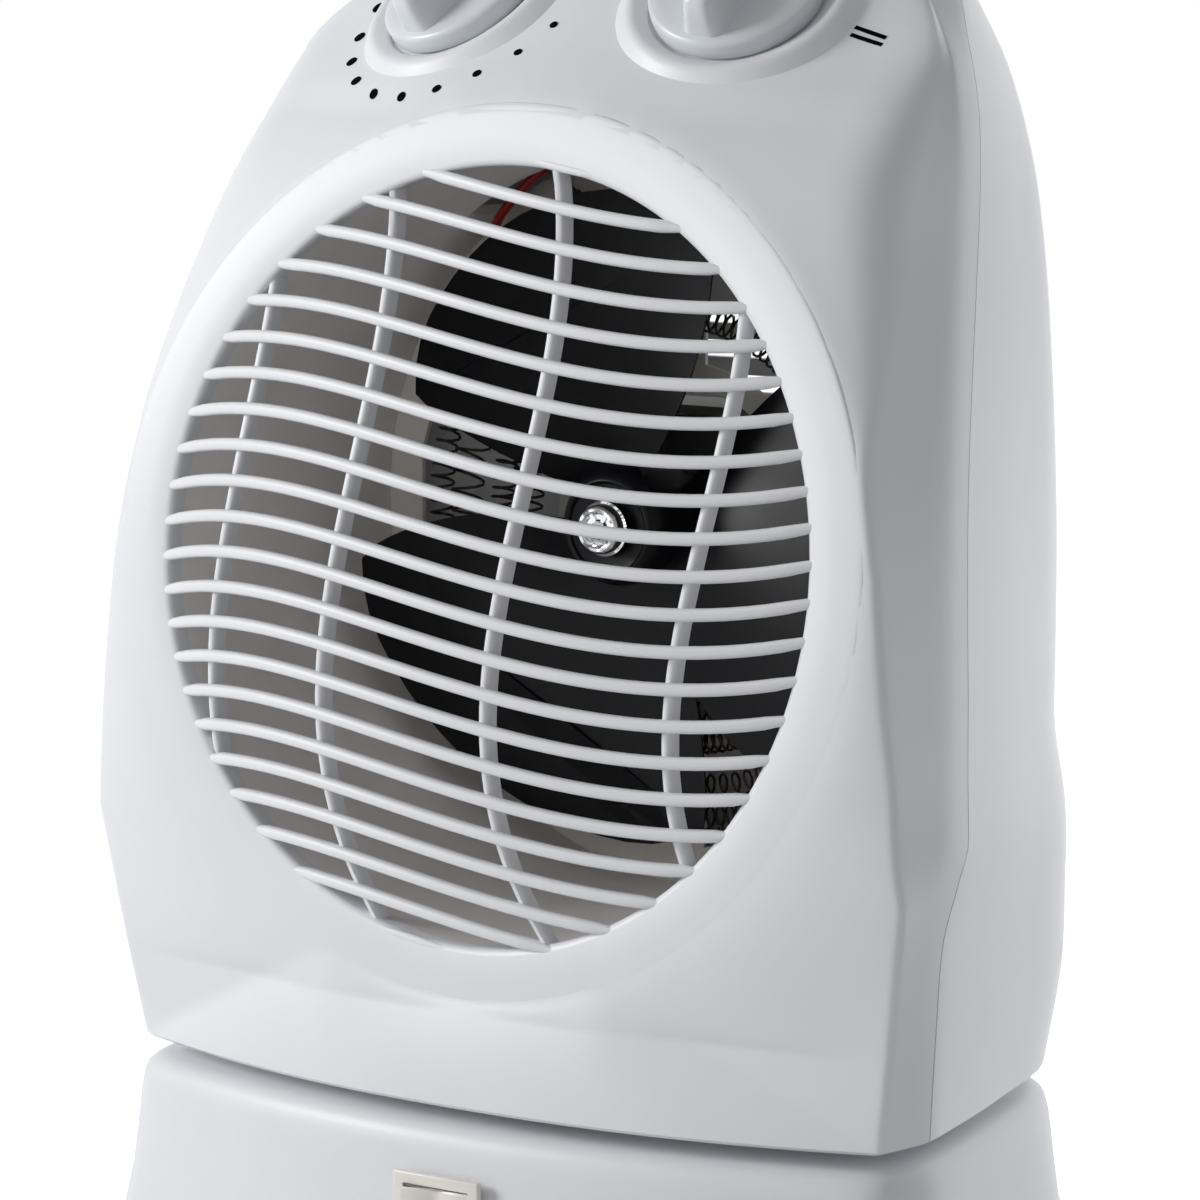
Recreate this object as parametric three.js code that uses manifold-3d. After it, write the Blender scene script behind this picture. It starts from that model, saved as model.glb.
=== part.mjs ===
// Oscillating fan heater: a flared base that stands still, and a tall head that swivels on it.
// Millimetres, +Z up, front towards -Y. The origin is on the floor, under the middle of the base.
// The round grille in the head's front is the reference for what lies inside the head: depths there
// are measured backwards from its face, heights and widths from its centre.

import * as THREE from 'three';
import { mergeVertices } from 'three/addons/utils/BufferGeometryUtils.js';
import Module from 'manifold-3d';

const wasm = await Module();
wasm.setup();

const degree = Math.PI / 180;
const quarterTurn = 90 * degree;
const mergeReach = 0.0005;

// Clearances and the reach of cutters past what they cut
const gap = 0.3;
const runningGap = 0.4;
const overrun = 5;

// Sides of round forms, from the widest to the smallest
const sides = { opening: 32, collar: 20, rod: 12, screw: 8 };

// Base: a flared housing under the head, with the same plan. Its levels are measured down from its top.
const base = { height: 58, rim: 3, flare: 8, wall: 2.5, shoulderDrop: 5, roundDrop: 1.5, roundStep: 1.2,
  topInset: 4.5, holeRadius: 21, postRadius: 5.5, postBore: 1.9, postBoreTop: 24 };
const basePostShares = { side: 0.6698, end: 0.3472 };
const baseShoulder = base.height - base.shoulderDrop;

// Head: overall sizes of the housing, and its outline at rising heights
const head = { lift: 4, height: 260, halfWidth: 107.5, depth: 132.5, wall: 2.6 };
const headFrontShare = 0.4849;
const headBottom = base.height + head.lift;
const headFront = -headFrontShare * head.depth;
const headBack = headFront + head.depth;
const seamStep = { cornerPower: 2.2, panelPower: 1.7, panelStart: 0.85,
  midShare: 0.35, backShare: 0.6, backDropShare: 0.22 };
// Each row: height, front middle, front corner out and back, seam out and back, rear corner out and
// back, rear middle. Heights are shares of the height, widths of the half width, depths of the depth.
const headShares = [
  [0.0, 0.0, 0.912, 0.128, 0.947, 0.241, 0.781, 0.849, 0.97],
  [0.09, 0.047, 0.947, 0.107, 0.972, 0.249, 0.8, 0.883, 0.992],
  [0.201, 0.051, 0.988, 0.084, 1.0, 0.275, 0.819, 0.864, 1.0],
  [0.301, 0.06, 0.959, 0.063, 0.977, 0.302, 0.809, 0.834, 1.0],
  [0.455, 0.088, 0.913, 0.088, 0.949, 0.333, 0.791, 0.857, 1.0],
  [0.609, 0.133, 0.856, 0.135, 0.916, 0.381, 0.763, 0.868, 0.992],
  [0.686, 0.162, 0.806, 0.165, 0.884, 0.423, 0.744, 0.872, 0.985],
  [0.763, 0.195, 0.748, 0.204, 0.837, 0.519, 0.7, 0.893, 0.977],
  [0.824, 0.222, 0.702, 0.279, 0.814, 0.545, 0.657, 0.891, 0.966],
  [0.878, 0.341, 0.707, 0.437, 0.777, 0.563, 0.61, 0.872, 0.951],
  [0.936, 0.472, 0.62, 0.58, 0.67, 0.655, 0.52, 0.85, 0.925],
  [0.978, 0.577, 0.42, 0.65, 0.48, 0.73, 0.4, 0.838, 0.894],
  [1.0, 0.683, 0.23, 0.71, 0.3, 0.76, 0.23, 0.819, 0.842],
];

// What lies inside the head follows its depth, and its round pieces follow the face: the half width,
// or what the height leaves room for.
const faceHeightShare = 0.4135;
const faceHalf = Math.min(head.halfWidth, faceHeightShare * head.height);
const sized = (shares, size) => Object.fromEntries(
  Object.entries(shares).map(([name, share]) => [name, share * size]));

// Grille: the opening, the band round it, its bars and its ribs. The face leans back and is bowed.
const grilleDepthShares = {
  frontInset: 0.0792, lean: 0.2355, bow: 0.3586, bulge: 0.117, collarDepth: 0.1057,
};
const grilleRoundShares = { openingRadius: 0.7767, swirl: -0.127, swirlBack: 0.0941, swirlSpan: 0.7442,
  sway: 0.1172, swayBack: -0.1591 };
const grille = {
  bandWidth: 12.5, bandFront: 0.8, bandBack: 0.9, bandEdge: 1.1, collarWall: 2.8,
  barPitch: 7.78, barHeight: 2.5, barFrontHeight: 1.5, barDepth: 3.4, barSteps: 4, endSink: 1.4,
  ...sized(grilleDepthShares, head.depth), ...sized(grilleRoundShares, faceHalf),
};
const bandRadius = grille.openingRadius + grille.bandWidth;
const barCount = Math.floor((2 * grille.openingRadius) / grille.barPitch);
const ribSideShares = [-0.7725, -0.3413, 0.1976, 0.7006];
const ribs = { width: 2.2, depth: 4.2, start: 1 };
const ringHeightShare = 0.455;
const ringY = headFront + grille.frontInset;
const ringZ = headBottom + ringHeightShare * head.height;

// Control panel: two knobs on the slope above the grille
const panelShares = { side: 0.3312, depth: 0.3698, height: 0.455, slope: 2.2813 };
const panelTurn = 13 * degree;
const panelSlope = Math.atan((panelShares.slope * head.depth) / head.height);
const knobShares = { radius: 0.1805, switchRadius: 0.1163, switchLength: 0.1739 };
const knob = { rim: 1, height: 5.4, lift: 0.6, stemRadius: 4, stemLength: 8,
  gripInset: 2.2, gripHalfWidth: 4.6, gripTopInset: 4.4, gripTopHalfWidth: 2.4, gripTop: 14.5,
  ...sized(knobShares, faceHalf) };
const bezel = { gap: 0.7, topWidth: 4.5, footWidth: 7.5, rise: 3, root: 3, floor: 0.2 };
const bezelBore = knob.radius + bezel.gap;
const switchBody = { top: -3.3, socketDepth: 5.4 };
const switchBottom = switchBody.top - knob.switchLength;

// Fan and its motor, on one axis behind the grille
const fanDepthShares = { hubFront: 0.3774, hubBack: 0.5434, bladeFront: 0.4075, bladeTwist: 0.1283 };
const fan = { axisRise: 1.5, hubRadius: 13.5, noseRadius: 9, noseDepth: 3, tipGap: 9.6,
  bladeCount: 3, bladeThick: 1.8, rootRadius: 11, ...sized(fanDepthShares, head.depth),
  firstBlade: 105 * degree, lead: 42 * degree, leadTaper: 10 * degree,
  trail: 52 * degree, trailTaper: 34 * degree };
const shaft = { radius: 2, nose: 3.2, tail: 2.7 };
const clip = { length: 3.8, radius: 6.2, lipRadius: 5.4, cupRadius: 3.6, cupDepth: 1.4, lip: 0.8 };
const motorStackShare = 0.1358;
const motor = { behindDuct: 6.3, halfWidth: 30, above: 24, below: 44, boreRadius: 13.1, rotorRadius: 12.7,
  rotorInset: 0.5, windowHalfWidth: 19, limb: 9, windowHeight: 16,
  windingHalfWidth: 17.5, windingWall: 3.5, windingBulk: 7.6,
  bracketHalfWidth: 8, bracketReach: 22, bracketThick: 2,
  bossRadius: 5, bossSide: 24, bossLow: 38, bossHigh: 18 };

// Air duct and heating element
const ductShares = { back: 0.6317, notchDepth: 0.1208 };
const duct = { stepOut: 1.1, wall: 1.8, ...sized(ductShares, head.depth) };
const ductRadius = grille.openingRadius + duct.stepOut;
const motorFront = duct.back + motor.behindDuct;
const motorStack = motorStackShare * head.depth;
const motorBack = motorFront + motorStack;
const fanTip = ductRadius - fan.tipGap;
const notchShares = { left: -0.591, right: 0.2837, low: 0.7683 };
const mica = { thick: 1.2, overlap: 1.4, outerBand: 10, hubBand: 6, spokeCount: 6, spokeWidth: 9,
  arcSteps: 3 };
const micaHubShare = 0.4255;
const coil = { behind: 3.7, curlRadius: 3, wireRadius: 0.5, curls: 18, curlSteps: 8, sides: 5,
  sweep: 300 * degree, start: 130 * degree };
const coilShares = { innerStart: 0.5201, innerEnd: 0.5556, outerStart: 0.6856, outerEnd: 0.7329 };
const cutout = { radius: 6.5, height: 5.7, angle: 60 * degree };
const cutoutShare = 0.8983;
const wire = { radius: 1.1, sides: 6, steps: 12, lead: 0.9, aside: 5 };

// Screws that hold the rear shell on, in deep bosses
const screwShares = {
  lowSide: 0.7814, lowHeight: -0.3538, highSide: 0.5581, highHeight: 0.3308, meet: 0.4528,
};
const shellScrew = { postRadius: 5, bossRadius: 6.4, boreRadius: 2, headBore: 4.2, web: 6, headRadius: 3.6,
  headHeight: 3, shankRadius: 1.6, shankLength: 22, postBore: 18 };
const screwMeet = screwShares.meet * head.depth;

// Rear shell: air slots and a finger recess under the top
const slots = { count: 12, pitch: 8, height: 4, halfWidth: 46, low: -44, reach: 12 };
const recess = { halfWidth: 36, wall: 2 };
const recessShares = { low: 0.3077, high: 0.4231, front: 0.7396 };

// Cover under the base, its feet and screws, and what the base carries
const plate = { bottom: 3.3, thick: 2.5, outline: 4.7, screwHole: 2, plungerHole: 3.2, motorPostRadius: 4 };
const foot = { radius: 9, height: 3, edge: 0.6, headBore: 4, hole: 2.2, ledge: 1.9 };
const baseScrew = { headRadius: 3.4, headBottom: 0.2, headTop: 1.6, shankRadius: 1.5, top: 20 };
const rocker = { drop: 17.9, plateHalfWidth: 11.3, plateHeight: 16, plateThick: 1.6, bodyHalfWidth: 9.4,
  bodyHeight: 12.4, bodyDepth: 16, pocketHalfWidth: 8.7, pocketHeight: 11, pocketDepth: 6,
  buttonHalfWidth: 8.2, buttonHeight: 10.2, crest: 1.2, tip: 2.4, keel: 2.6, tilt: 8 * degree,
  cutoutGap: 0.4 };
const gland = { height: 20, holeRadius: 5.3, radius: 8, boreRadius: 3, flange: 1.6, inside: 5 };
const neck = { outerRadius: 17, innerRadius: 14, flangeRadius: 26, flangeThick: 2.1, drop: 18.8 };
const bush = { wall: 3.4, flangeRadius: 26, drop: 9.2 };
const retainer = { radius: 24, thick: 2.5 };
const yoke = { thick: 2.5, ringRadius: 24, armHalfWidth: 7, slotHalfWidth: 2.6,
  slotBefore: 12, armEnd: 6 };
const oscShares = { behind: 0.2868, radius: 0.1585, postSide: 0.1057, slotAfter: 0.1057 };
const osc = { drop: 22, tall: 14, spigotRadius: 5, spigot: 1.1, crankRadius: 11, crankThick: 3, pinRadius: 2,
  pinOffset: 8, ...sized(oscShares, head.depth) };
const oscTop = base.height - osc.drop;
const oscBottom = oscTop - osc.tall;
const tip = { halfWidth: 7, halfDepth: 10, top: 24, bore: 2.9,
  plungerRadius: 2.4, plungerTop: 20, plungerTip: 0.3 };
const tipShares = { side: 0.3721, behind: 0.166 };
const tipSide = tipShares.side * head.halfWidth;
const tipBehind = tipShares.behind * head.depth;
const rockerHeight = base.height - rocker.drop;

// Materials
const finish = (color, roughness, metalness = 0) => new THREE.MeshStandardMaterial({
  color, roughness, metalness,
});
const whitePlastic = finish(0xe9ebef, 0.42);
const brightPlastic = finish(0xf1f1f2, 0.38);
const greyPlastic = finish(0xc9c6c0, 0.55);
const creamPlastic = finish(0xece9e4, 0.35);
const blackPlastic = finish(0x121212, 0.22);
const rubber = finish(0x2b2b2c, 0.8);
const steel = finish(0xb4b6b8, 0.35, 1);
const chrome = finish(0xe4e6e8, 0.08, 1);
const brass = finish(0xb99a52, 0.35, 1);
const copper = finish(0xa6572c, 0.4, 1);
const nichrome = finish(0x5b5148, 0.4, 1);
const micaSheet = finish(0x9a9184, 0.6);
const redSleeve = finish(0xb3261e, 0.5);
const blackSleeve = finish(0x1a1a1a, 0.5);
const whiteSleeve = finish(0xdfe1e4, 0.5);

// Joining, cutting and closing

function solidOf(geometry) {
  const bare = new THREE.BufferGeometry();
  bare.setAttribute('position', geometry.attributes.position.clone());
  if (geometry.index) bare.setIndex(geometry.index.clone());
  const merged = mergeVertices(bare, mergeReach);
  const index = merged.index.array;
  const kept = [];
  for (let i = 0; i < index.length; i += 3) {
    const [a, b, c] = [index[i], index[i + 1], index[i + 2]];
    if (a !== b && b !== c && c !== a) kept.push([a, b, c]);
  }
  const p = merged.attributes.position;
  const corner = (i) => new THREE.Vector3(p.getX(i), p.getY(i), p.getZ(i));
  const volume = kept.reduce((sum, [a, b, c]) => sum + corner(a).dot(corner(b).cross(corner(c))), 0);
  const turned = volume < 0 ? kept.map(([a, b, c]) => [a, c, b]) : kept;
  const mesh = new wasm.Mesh({
    numProp: 3,
    vertProperties: new Float32Array(p.array),
    triVerts: new Uint32Array(turned.flat()),
  });
  return new wasm.Manifold(mesh);
}

function geometryOf(solid) {
  const mesh = solid.getMesh();
  const geometry = new THREE.BufferGeometry();
  geometry.setAttribute('position', new THREE.BufferAttribute(new Float32Array(mesh.vertProperties), 3));
  geometry.setIndex(new THREE.BufferAttribute(new Uint32Array(mesh.triVerts), 1));
  geometry.computeVertexNormals();
  return geometry;
}

const joined = (first, ...others) => others.reduce((sum, item) => sum.add(item), first);
const cut = (first, ...others) => others.reduce((rest, item) => rest.subtract(item), first);

// A skin over rings of points, in order from one end to the other, with a lid on each end
function skin(rings) {
  const count = rings[0].length;
  const positions = rings.flat().flatMap((point) => [point.x, point.y, point.z]);
  const index = [];
  for (let r = 0; r + 1 < rings.length; r += 1) {
    for (let i = 0; i < count; i += 1) {
      const [a, b] = [r * count + i, r * count + ((i + 1) % count)];
      index.push(a, b, b + count, a, b + count, a + count);
    }
  }
  const last = (rings.length - 1) * count;
  lidOf(rings[0]).forEach(([a, b, c]) => index.push(a, c, b));
  lidOf(rings[rings.length - 1]).forEach(([a, b, c]) => index.push(last + a, last + b, last + c));
  const geometry = new THREE.BufferGeometry();
  geometry.setAttribute('position', new THREE.Float32BufferAttribute(positions, 3));
  geometry.setIndex(index);
  return geometry;
}

// Triangles over one flat ring, turned the way the ring's points run
function lidOf(ring) {
  const normal = new THREE.Vector3();
  ring.forEach((point, i) => normal.add(point.clone().cross(ring[(i + 1) % ring.length])));
  const { x, y, z } = normal;
  const most = Math.max(Math.abs(x), Math.abs(y), Math.abs(z));
  let flatten = (p) => new THREE.Vector2(p.x, p.y);
  let forward = z > 0;
  if (Math.abs(x) === most) [flatten, forward] = [(p) => new THREE.Vector2(p.y, p.z), x > 0];
  else if (Math.abs(y) === most) [flatten, forward] = [(p) => new THREE.Vector2(p.z, p.x), y > 0];
  const flat = ring.map(flatten);
  const faces = THREE.ShapeUtils.triangulateShape(flat, []);
  return faces.map(([a, b, c]) => {
    const area = flat[b].clone().sub(flat[a]).cross(flat[c].clone().sub(flat[a]));
    return area > 0 === forward ? [a, b, c] : [a, c, b];
  });
}

// Plain shapes as solids

function box(x, y, z, centre) {
  return solidOf(new THREE.BoxGeometry(x, y, z).translate(...centre));
}

function rodZ(radius, bottom, top, x, y, count = sides.rod) {
  const rod = new THREE.CylinderGeometry(radius, radius, top - bottom, count).rotateX(quarterTurn);
  return solidOf(rod.translate(x, y, (top + bottom) / 2));
}

function rodY(radius, front, back, x, z, count = sides.screw) {
  const rod = new THREE.CylinderGeometry(radius, radius, back - front, count);
  return solidOf(rod.translate(x, (front + back) / 2, z));
}

// Turned pieces: profile points are radius and distance along the axis
const closedProfile = (points) => [...points, points[0]].map(([r, along]) => new THREE.Vector2(r, along));
const openProfile = (points) => points.map(([r, along]) => new THREE.Vector2(r, along));
const turnedY = (profile, count = sides.collar) => new THREE.LatheGeometry(profile, count);
const turnedZ = (profile, count = sides.collar) => turnedY(profile, count).rotateX(quarterTurn);

// Puts a geometry that was made round the grille's centre in the head
const atRing = (geometry) => geometry.translate(0, ringY, ringZ);

// Leans a geometry back and bows it as the grille's face is
function leaned(geometry, upTo = Infinity) {
  const p = geometry.attributes.position;
  for (let i = 0; i < p.count; i += 1) {
    const z = p.getZ(i);
    if (p.getY(i) <= upTo) {
      const share = z / head.height;
      p.setY(i, p.getY(i) + grille.lean * share + grille.bow * share ** 2);
    }
  }
  return geometry;
}

// Outlines of the housing

function headSection(row) {
  const [z, front, cornerX, cornerY, seamX, seamY, rearX, rearY, back] = row;
  const depthAt = (share) => headFront + share * head.depth;
  return {
    z: headBottom + z * head.height,
    power: z > seamStep.panelStart ? seamStep.panelPower : seamStep.cornerPower,
    front: depthAt(front), back: depthAt(back),
    corner: new THREE.Vector2(cornerX * head.halfWidth, depthAt(cornerY)),
    seam: new THREE.Vector2(seamX * head.halfWidth, depthAt(seamY)),
    rear: new THREE.Vector2(rearX * head.halfWidth, depthAt(rearY)),
  };
}

function outline(section) {
  const { front, corner, seam, rear, back, power } = section;
  const frontSteps = 4;
  const rearSteps = 6;
  const half = [];
  for (let i = 0; i <= frontSteps; i += 1) {
    const t = i / frontSteps;
    half.push(new THREE.Vector2(corner.x * t, front + (corner.y - front) * t ** power));
  }
  const middle = new THREE.Vector2(
    seam.x + (rear.x - seam.x) * seamStep.midShare, (seam.y + rear.y) / 2);
  const shoulder = new THREE.Vector2(
    rear.x * seamStep.backShare, back - (back - rear.y) * seamStep.backDropShare);
  const rearCurve = new THREE.SplineCurve([seam, middle, rear, shoulder, new THREE.Vector2(0, back)]);
  half.push(...rearCurve.getPoints(rearSteps));
  const left = half.slice(1, -1).reverse().map((point) => new THREE.Vector2(-point.x, point.y));
  return [...half, ...left].map((point) => new THREE.Vector3(point.x, point.y, section.z));
}

const headSections = headShares.map(headSection);

function headOuter() {
  return solidOf(skin(headSections.map(outline)));
}

function headInner() {
  const middle = new THREE.Vector3(0, (headFront + headBack) / 2, headBottom + head.height / 2);
  const half = new THREE.Vector3(head.halfWidth, head.depth / 2, head.height / 2);
  const shrink = half.clone().subScalar(head.wall).divide(half);
  const geometry = skin(headSections.map(outline));
  geometry.translate(-middle.x, -middle.y, -middle.z).scale(shrink.x, shrink.y, shrink.z);
  return solidOf(geometry.translate(middle.x, middle.y, middle.z));
}

// The space in front of the seam between the two shells
function frontSpace(shift) {
  const low = headSections[0];
  const high = headSections[headSections.length - 1];
  const profile = [
    [headFront - overrun, low.z - overrun], [low.seam.y + shift, low.z - overrun],
    ...headSections.map((section) => [section.seam.y + shift, section.z]),
    [high.seam.y + shift, high.z + overrun], [headFront - overrun, high.z + overrun],
  ];
  const reach = head.halfWidth + overrun;
  return solidOf(skin([-reach, reach].map((x) => profile.map(([y, z]) => new THREE.Vector3(x, y, z)))));
}

// Control panel places: one on each side, facing up, forward and a little outward

function panelPlace(side) {
  const turn = side * panelTurn;
  const out = new THREE.Vector3(Math.sin(turn) * Math.cos(panelSlope),
    -Math.cos(turn) * Math.cos(panelSlope), Math.sin(panelSlope));
  const across = new THREE.Vector3(Math.cos(turn), Math.sin(turn), 0);
  const up = out.clone().cross(across);
  const place = new THREE.Matrix4().makeBasis(across, up, out);
  return place.setPosition(side * panelShares.side * faceHalf, ringY + panelShares.depth * head.depth,
    ringZ + panelShares.height * head.height);
}

// Shells of the head

const screwPlaces = [-1, 1].flatMap((side) => [
  [side * screwShares.lowSide * head.halfWidth, screwShares.lowHeight * head.height],
  [side * screwShares.highSide * head.halfWidth, screwShares.highHeight * head.height],
]);

function frontShell() {
  const outer = headOuter();
  let shell = cut(outer, headInner()).intersect(frontSpace(0));
  for (const [x, z] of screwPlaces) {
    const post = rodY(shellScrew.postRadius, headFront, ringY + screwMeet, x, ringZ + z);
    const bore = rodY(shellScrew.boreRadius, ringY + screwMeet - shellScrew.postBore,
      ringY + screwMeet + overrun, x, ringZ + z);
    shell = cut(shell.add(post.intersect(outer)), bore);
  }
  const seat = bezelSolids();
  shell = cut(joined(shell, ...seat.rings), ...seat.pockets);
  const pocketRadius = bandRadius + gap;
  const collarRadius = grille.openingRadius + grille.collarWall + gap;
  const bandPocket = leaned(turnedY(closedProfile([
    [collarRadius - overrun, -overrun * 2], [pocketRadius, -overrun * 2],
    [pocketRadius, grille.bandBack + gap], [collarRadius - overrun, grille.bandBack + gap],
  ]), sides.opening));
  const opening = leaned(turnedY(openProfile([
    [0, -overrun * 2], [collarRadius, -overrun * 2],
    [collarRadius, grille.collarDepth + overrun], [0, grille.collarDepth + overrun],
  ]), sides.opening));
  return cut(shell, solidOf(atRing(bandPocket)), solidOf(atRing(opening)));
}

function bezelSolids() {
  const rings = [];
  const pockets = [];
  for (const side of [-1, 1]) {
    const place = panelPlace(side);
    const ring = turnedZ(closedProfile([
      [bezelBore, -bezel.root], [bezelBore + bezel.footWidth, -bezel.root], [bezelBore + bezel.footWidth, 0],
      [bezelBore + bezel.topWidth, bezel.rise], [bezelBore, bezel.rise],
    ]));
    const pocket = turnedZ(openProfile([
      [0, bezel.floor], [bezelBore, bezel.floor],
      [bezelBore, bezel.rise + overrun], [0, bezel.rise + overrun],
    ]));
    const hole = rodZ(knob.stemRadius + runningGap, -bezel.root * 2, bezel.rise, 0, 0);
    rings.push(solidOf(ring.applyMatrix4(place)));
    pockets.push(solidOf(pocket.applyMatrix4(place)), hole.transform(place.toArray()));
  }
  return { rings, pockets };
}

function rearShell() {
  const outer = headOuter();
  let shell = cut(outer, headInner());
  const recessFront = ringY + recessShares.front * head.depth;
  const recessDepth = headBack + overrun - recessFront;
  const recessY = recessFront + recessDepth / 2;
  const recessZ = ringZ + ((recessShares.low + recessShares.high) / 2) * head.height;
  const recessHeight = (recessShares.high - recessShares.low) * head.height;
  const block = box(2 * (recess.halfWidth + recess.wall), recessDepth + 2 * recess.wall,
    recessHeight + 2 * recess.wall, [0, recessY, recessZ]);
  shell = shell.add(block.intersect(outer));
  shell = shell.subtract(box(2 * recess.halfWidth, recessDepth, recessHeight, [0, recessY, recessZ]));
  for (let i = 0; i < slots.count; i += 1) {
    const z = ringZ + slots.low + i * slots.pitch;
    shell = shell.subtract(box(2 * slots.halfWidth, 2 * slots.reach, slots.height, [0, headBack, z]));
  }
  for (const [x, z] of motorBosses()) {
    const boss = rodY(motor.bossRadius, ringY + motorBack + gap, headBack, x, z);
    shell = shell.add(boss.intersect(outer));
  }
  for (const [x, z] of screwPlaces) {
    const start = ringY + screwMeet + gap;
    const boss = rodY(shellScrew.bossRadius, start, headBack, x, ringZ + z);
    const headBore = rodY(shellScrew.headBore, start + shellScrew.web, headBack + overrun, x, ringZ + z);
    const bore = rodY(shellScrew.boreRadius, start - overrun, start + shellScrew.web + overrun, x, ringZ + z);
    shell = cut(shell.add(boss.intersect(outer)), headBore, bore);
  }
  const neckHole = rodZ(neck.outerRadius + gap, headBottom - overrun, headBottom + head.wall + overrun, 0, 0,
    sides.collar);
  return cut(shell, neckHole, frontSpace(gap).subtract(postSpace()));
}

// The rear shell's bosses start level with the posts, so the seam cutter leaves the space behind them alone
function postSpace() {
  const front = ringY + screwMeet;
  const spaces = screwPlaces.map(([x, z]) => rodY(
    shellScrew.bossRadius + gap, front + gap / 2, front + head.depth, x, ringZ + z));
  return joined(...spaces);
}

function motorBosses() {
  const axisZ = ringZ + fan.axisRise;
  return [-1, 1].flatMap((side) => [
    [side * motor.bossSide, axisZ - motor.bossLow], [side * motor.bossSide, axisZ + motor.bossHigh],
  ]);
}

// Grille

const swirlAt = (x) => {
  const share = x / grille.swirlSpan;
  return grille.swirl * share + grille.swirlBack * share ** 3;
};
const swayAt = (z) => {
  const share = z / grille.swirlSpan;
  return grille.sway * share + grille.swayBack * share ** 3;
};
const domeAt = (x, z) => -grille.bulge * Math.max(0, 1 - (x * x + z * z) / grille.openingRadius ** 2);

// How far a bar or rib runs from the middle before it meets the collar
function reachOf(radiusAt, side) {
  const limit = grille.openingRadius + grille.endSink;
  let [near, far] = [0, limit];
  for (let i = 0; i < 24; i += 1) {
    const middle = (near + far) / 2;
    if (radiusAt(side * middle) < limit) near = middle;
    else far = middle;
  }
  return side * near;
}

function grilleBar(height) {
  const zAt = (x) => height + swirlAt(x);
  const radiusAt = (x) => Math.hypot(x, zAt(x));
  const [left, right] = [reachOf(radiusAt, -1), reachOf(radiusAt, 1)];
  const rings = [];
  for (let i = 0; i <= grille.barSteps; i += 1) {
    const x = left + ((right - left) * i) / grille.barSteps;
    const [y, z] = [domeAt(x, zAt(x)), zAt(x)];
    const [half, frontHalf] = [grille.barHeight / 2, grille.barFrontHeight / 2];
    const back = y + grille.barDepth;
    rings.push([
      new THREE.Vector3(x, y, z - frontHalf), new THREE.Vector3(x, y, z + frontHalf),
      new THREE.Vector3(x, back, z + half), new THREE.Vector3(x, back, z - half),
    ]);
  }
  return solidOf(leaned(skin(rings)));
}

function grilleRib(side) {
  const xAt = (z) => side + swayAt(z);
  const radiusAt = (z) => Math.hypot(z, xAt(z));
  const [low, high] = [reachOf(radiusAt, -1), reachOf(radiusAt, 1)];
  const rings = [];
  for (let i = 0; i <= grille.barSteps; i += 1) {
    const z = low + ((high - low) * i) / grille.barSteps;
    const [x, y] = [xAt(z), domeAt(xAt(z), z) + ribs.start];
    const half = ribs.width / 2;
    rings.push([
      new THREE.Vector3(x - half, y, z), new THREE.Vector3(x + half, y, z),
      new THREE.Vector3(x + half, y + ribs.depth, z), new THREE.Vector3(x - half, y + ribs.depth, z),
    ]);
  }
  return solidOf(leaned(skin(rings)));
}

function frontGrille() {
  const { openingRadius, bandFront, bandBack, bandEdge, collarWall, collarDepth } = grille;
  const band = leaned(turnedY(closedProfile([
    [openingRadius, collarDepth], [openingRadius, 0], [openingRadius + bandEdge, -bandFront],
    [bandRadius - bandEdge, -bandFront], [bandRadius, 0], [bandRadius, bandBack],
    [openingRadius + collarWall, bandBack], [openingRadius + collarWall, collarDepth],
  ]), sides.opening));
  let solid = solidOf(band);
  const middle = (barCount - 1) / 2;
  for (let i = 0; i < barCount; i += 1) solid = solid.add(grilleBar((i - middle) * grille.barPitch));
  for (const share of ribSideShares) solid = solid.add(grilleRib(share * grille.openingRadius));
  return geometryOf(solid);
}

// Knobs and the switches behind them, made round their own axis

function knobSolid() {
  const body = turnedZ(openProfile([
    [0, -knob.stemLength], [knob.stemRadius, -knob.stemLength], [knob.stemRadius, knob.lift],
    [knob.radius - knob.rim, knob.lift], [knob.radius, knob.lift + knob.rim],
    [knob.radius, knob.height - knob.rim], [knob.radius - knob.rim, knob.height], [0, knob.height],
  ]));
  const corners = (halfWidth, halfLength, z) => [[-1, -1], [1, -1], [1, 1], [-1, 1]]
    .map(([i, j]) => new THREE.Vector3(i * halfWidth, j * halfLength, z));
  const grip = skin([
    corners(knob.gripHalfWidth, knob.radius - knob.gripInset, knob.height - knob.rim),
    corners(knob.gripTopHalfWidth, knob.radius - knob.gripTopInset, knob.gripTop),
  ]);
  return geometryOf(solidOf(body).add(solidOf(grip)));
}

function switchSolid() {
  const socket = knob.stemRadius + runningGap;
  return geometryOf(solidOf(turnedZ(openProfile([
    [0, switchBottom], [knob.switchRadius, switchBottom], [knob.switchRadius, switchBody.top],
    [socket, switchBody.top], [socket, switchBody.top - switchBody.socketDepth],
    [0, switchBody.top - switchBody.socketDepth],
  ]), sides.rod)));
}

// Fan

function bladeSolid(turn) {
  const radialSteps = 5;
  const chordSteps = 5;
  const rings = [];
  for (let i = 0; i <= radialSteps; i += 1) {
    const out = i / radialSteps;
    const radius = fan.rootRadius + (fanTip - fan.rootRadius) * out;
    const from = fan.lead - fan.leadTaper * out ** 2;
    const to = -fan.trail + fan.trailTaper * out ** 1.5;
    const along = (s, back) => {
      const angle = turn + from + (to - from) * s;
      const depth = fan.bladeFront + fan.bladeTwist * s + (back ? fan.bladeThick : 0);
      return new THREE.Vector3(radius * Math.cos(angle), depth, radius * Math.sin(angle));
    };
    const steps = Array.from({ length: chordSteps + 1 }, (_, j) => j / chordSteps);
    rings.push([...steps.map((s) => along(s, false)), ...steps.reverse().map((s) => along(s, true))]);
  }
  return solidOf(skin(rings));
}

const shaftBack = motorBack + gap + motor.bracketThick + shaft.tail;

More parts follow.
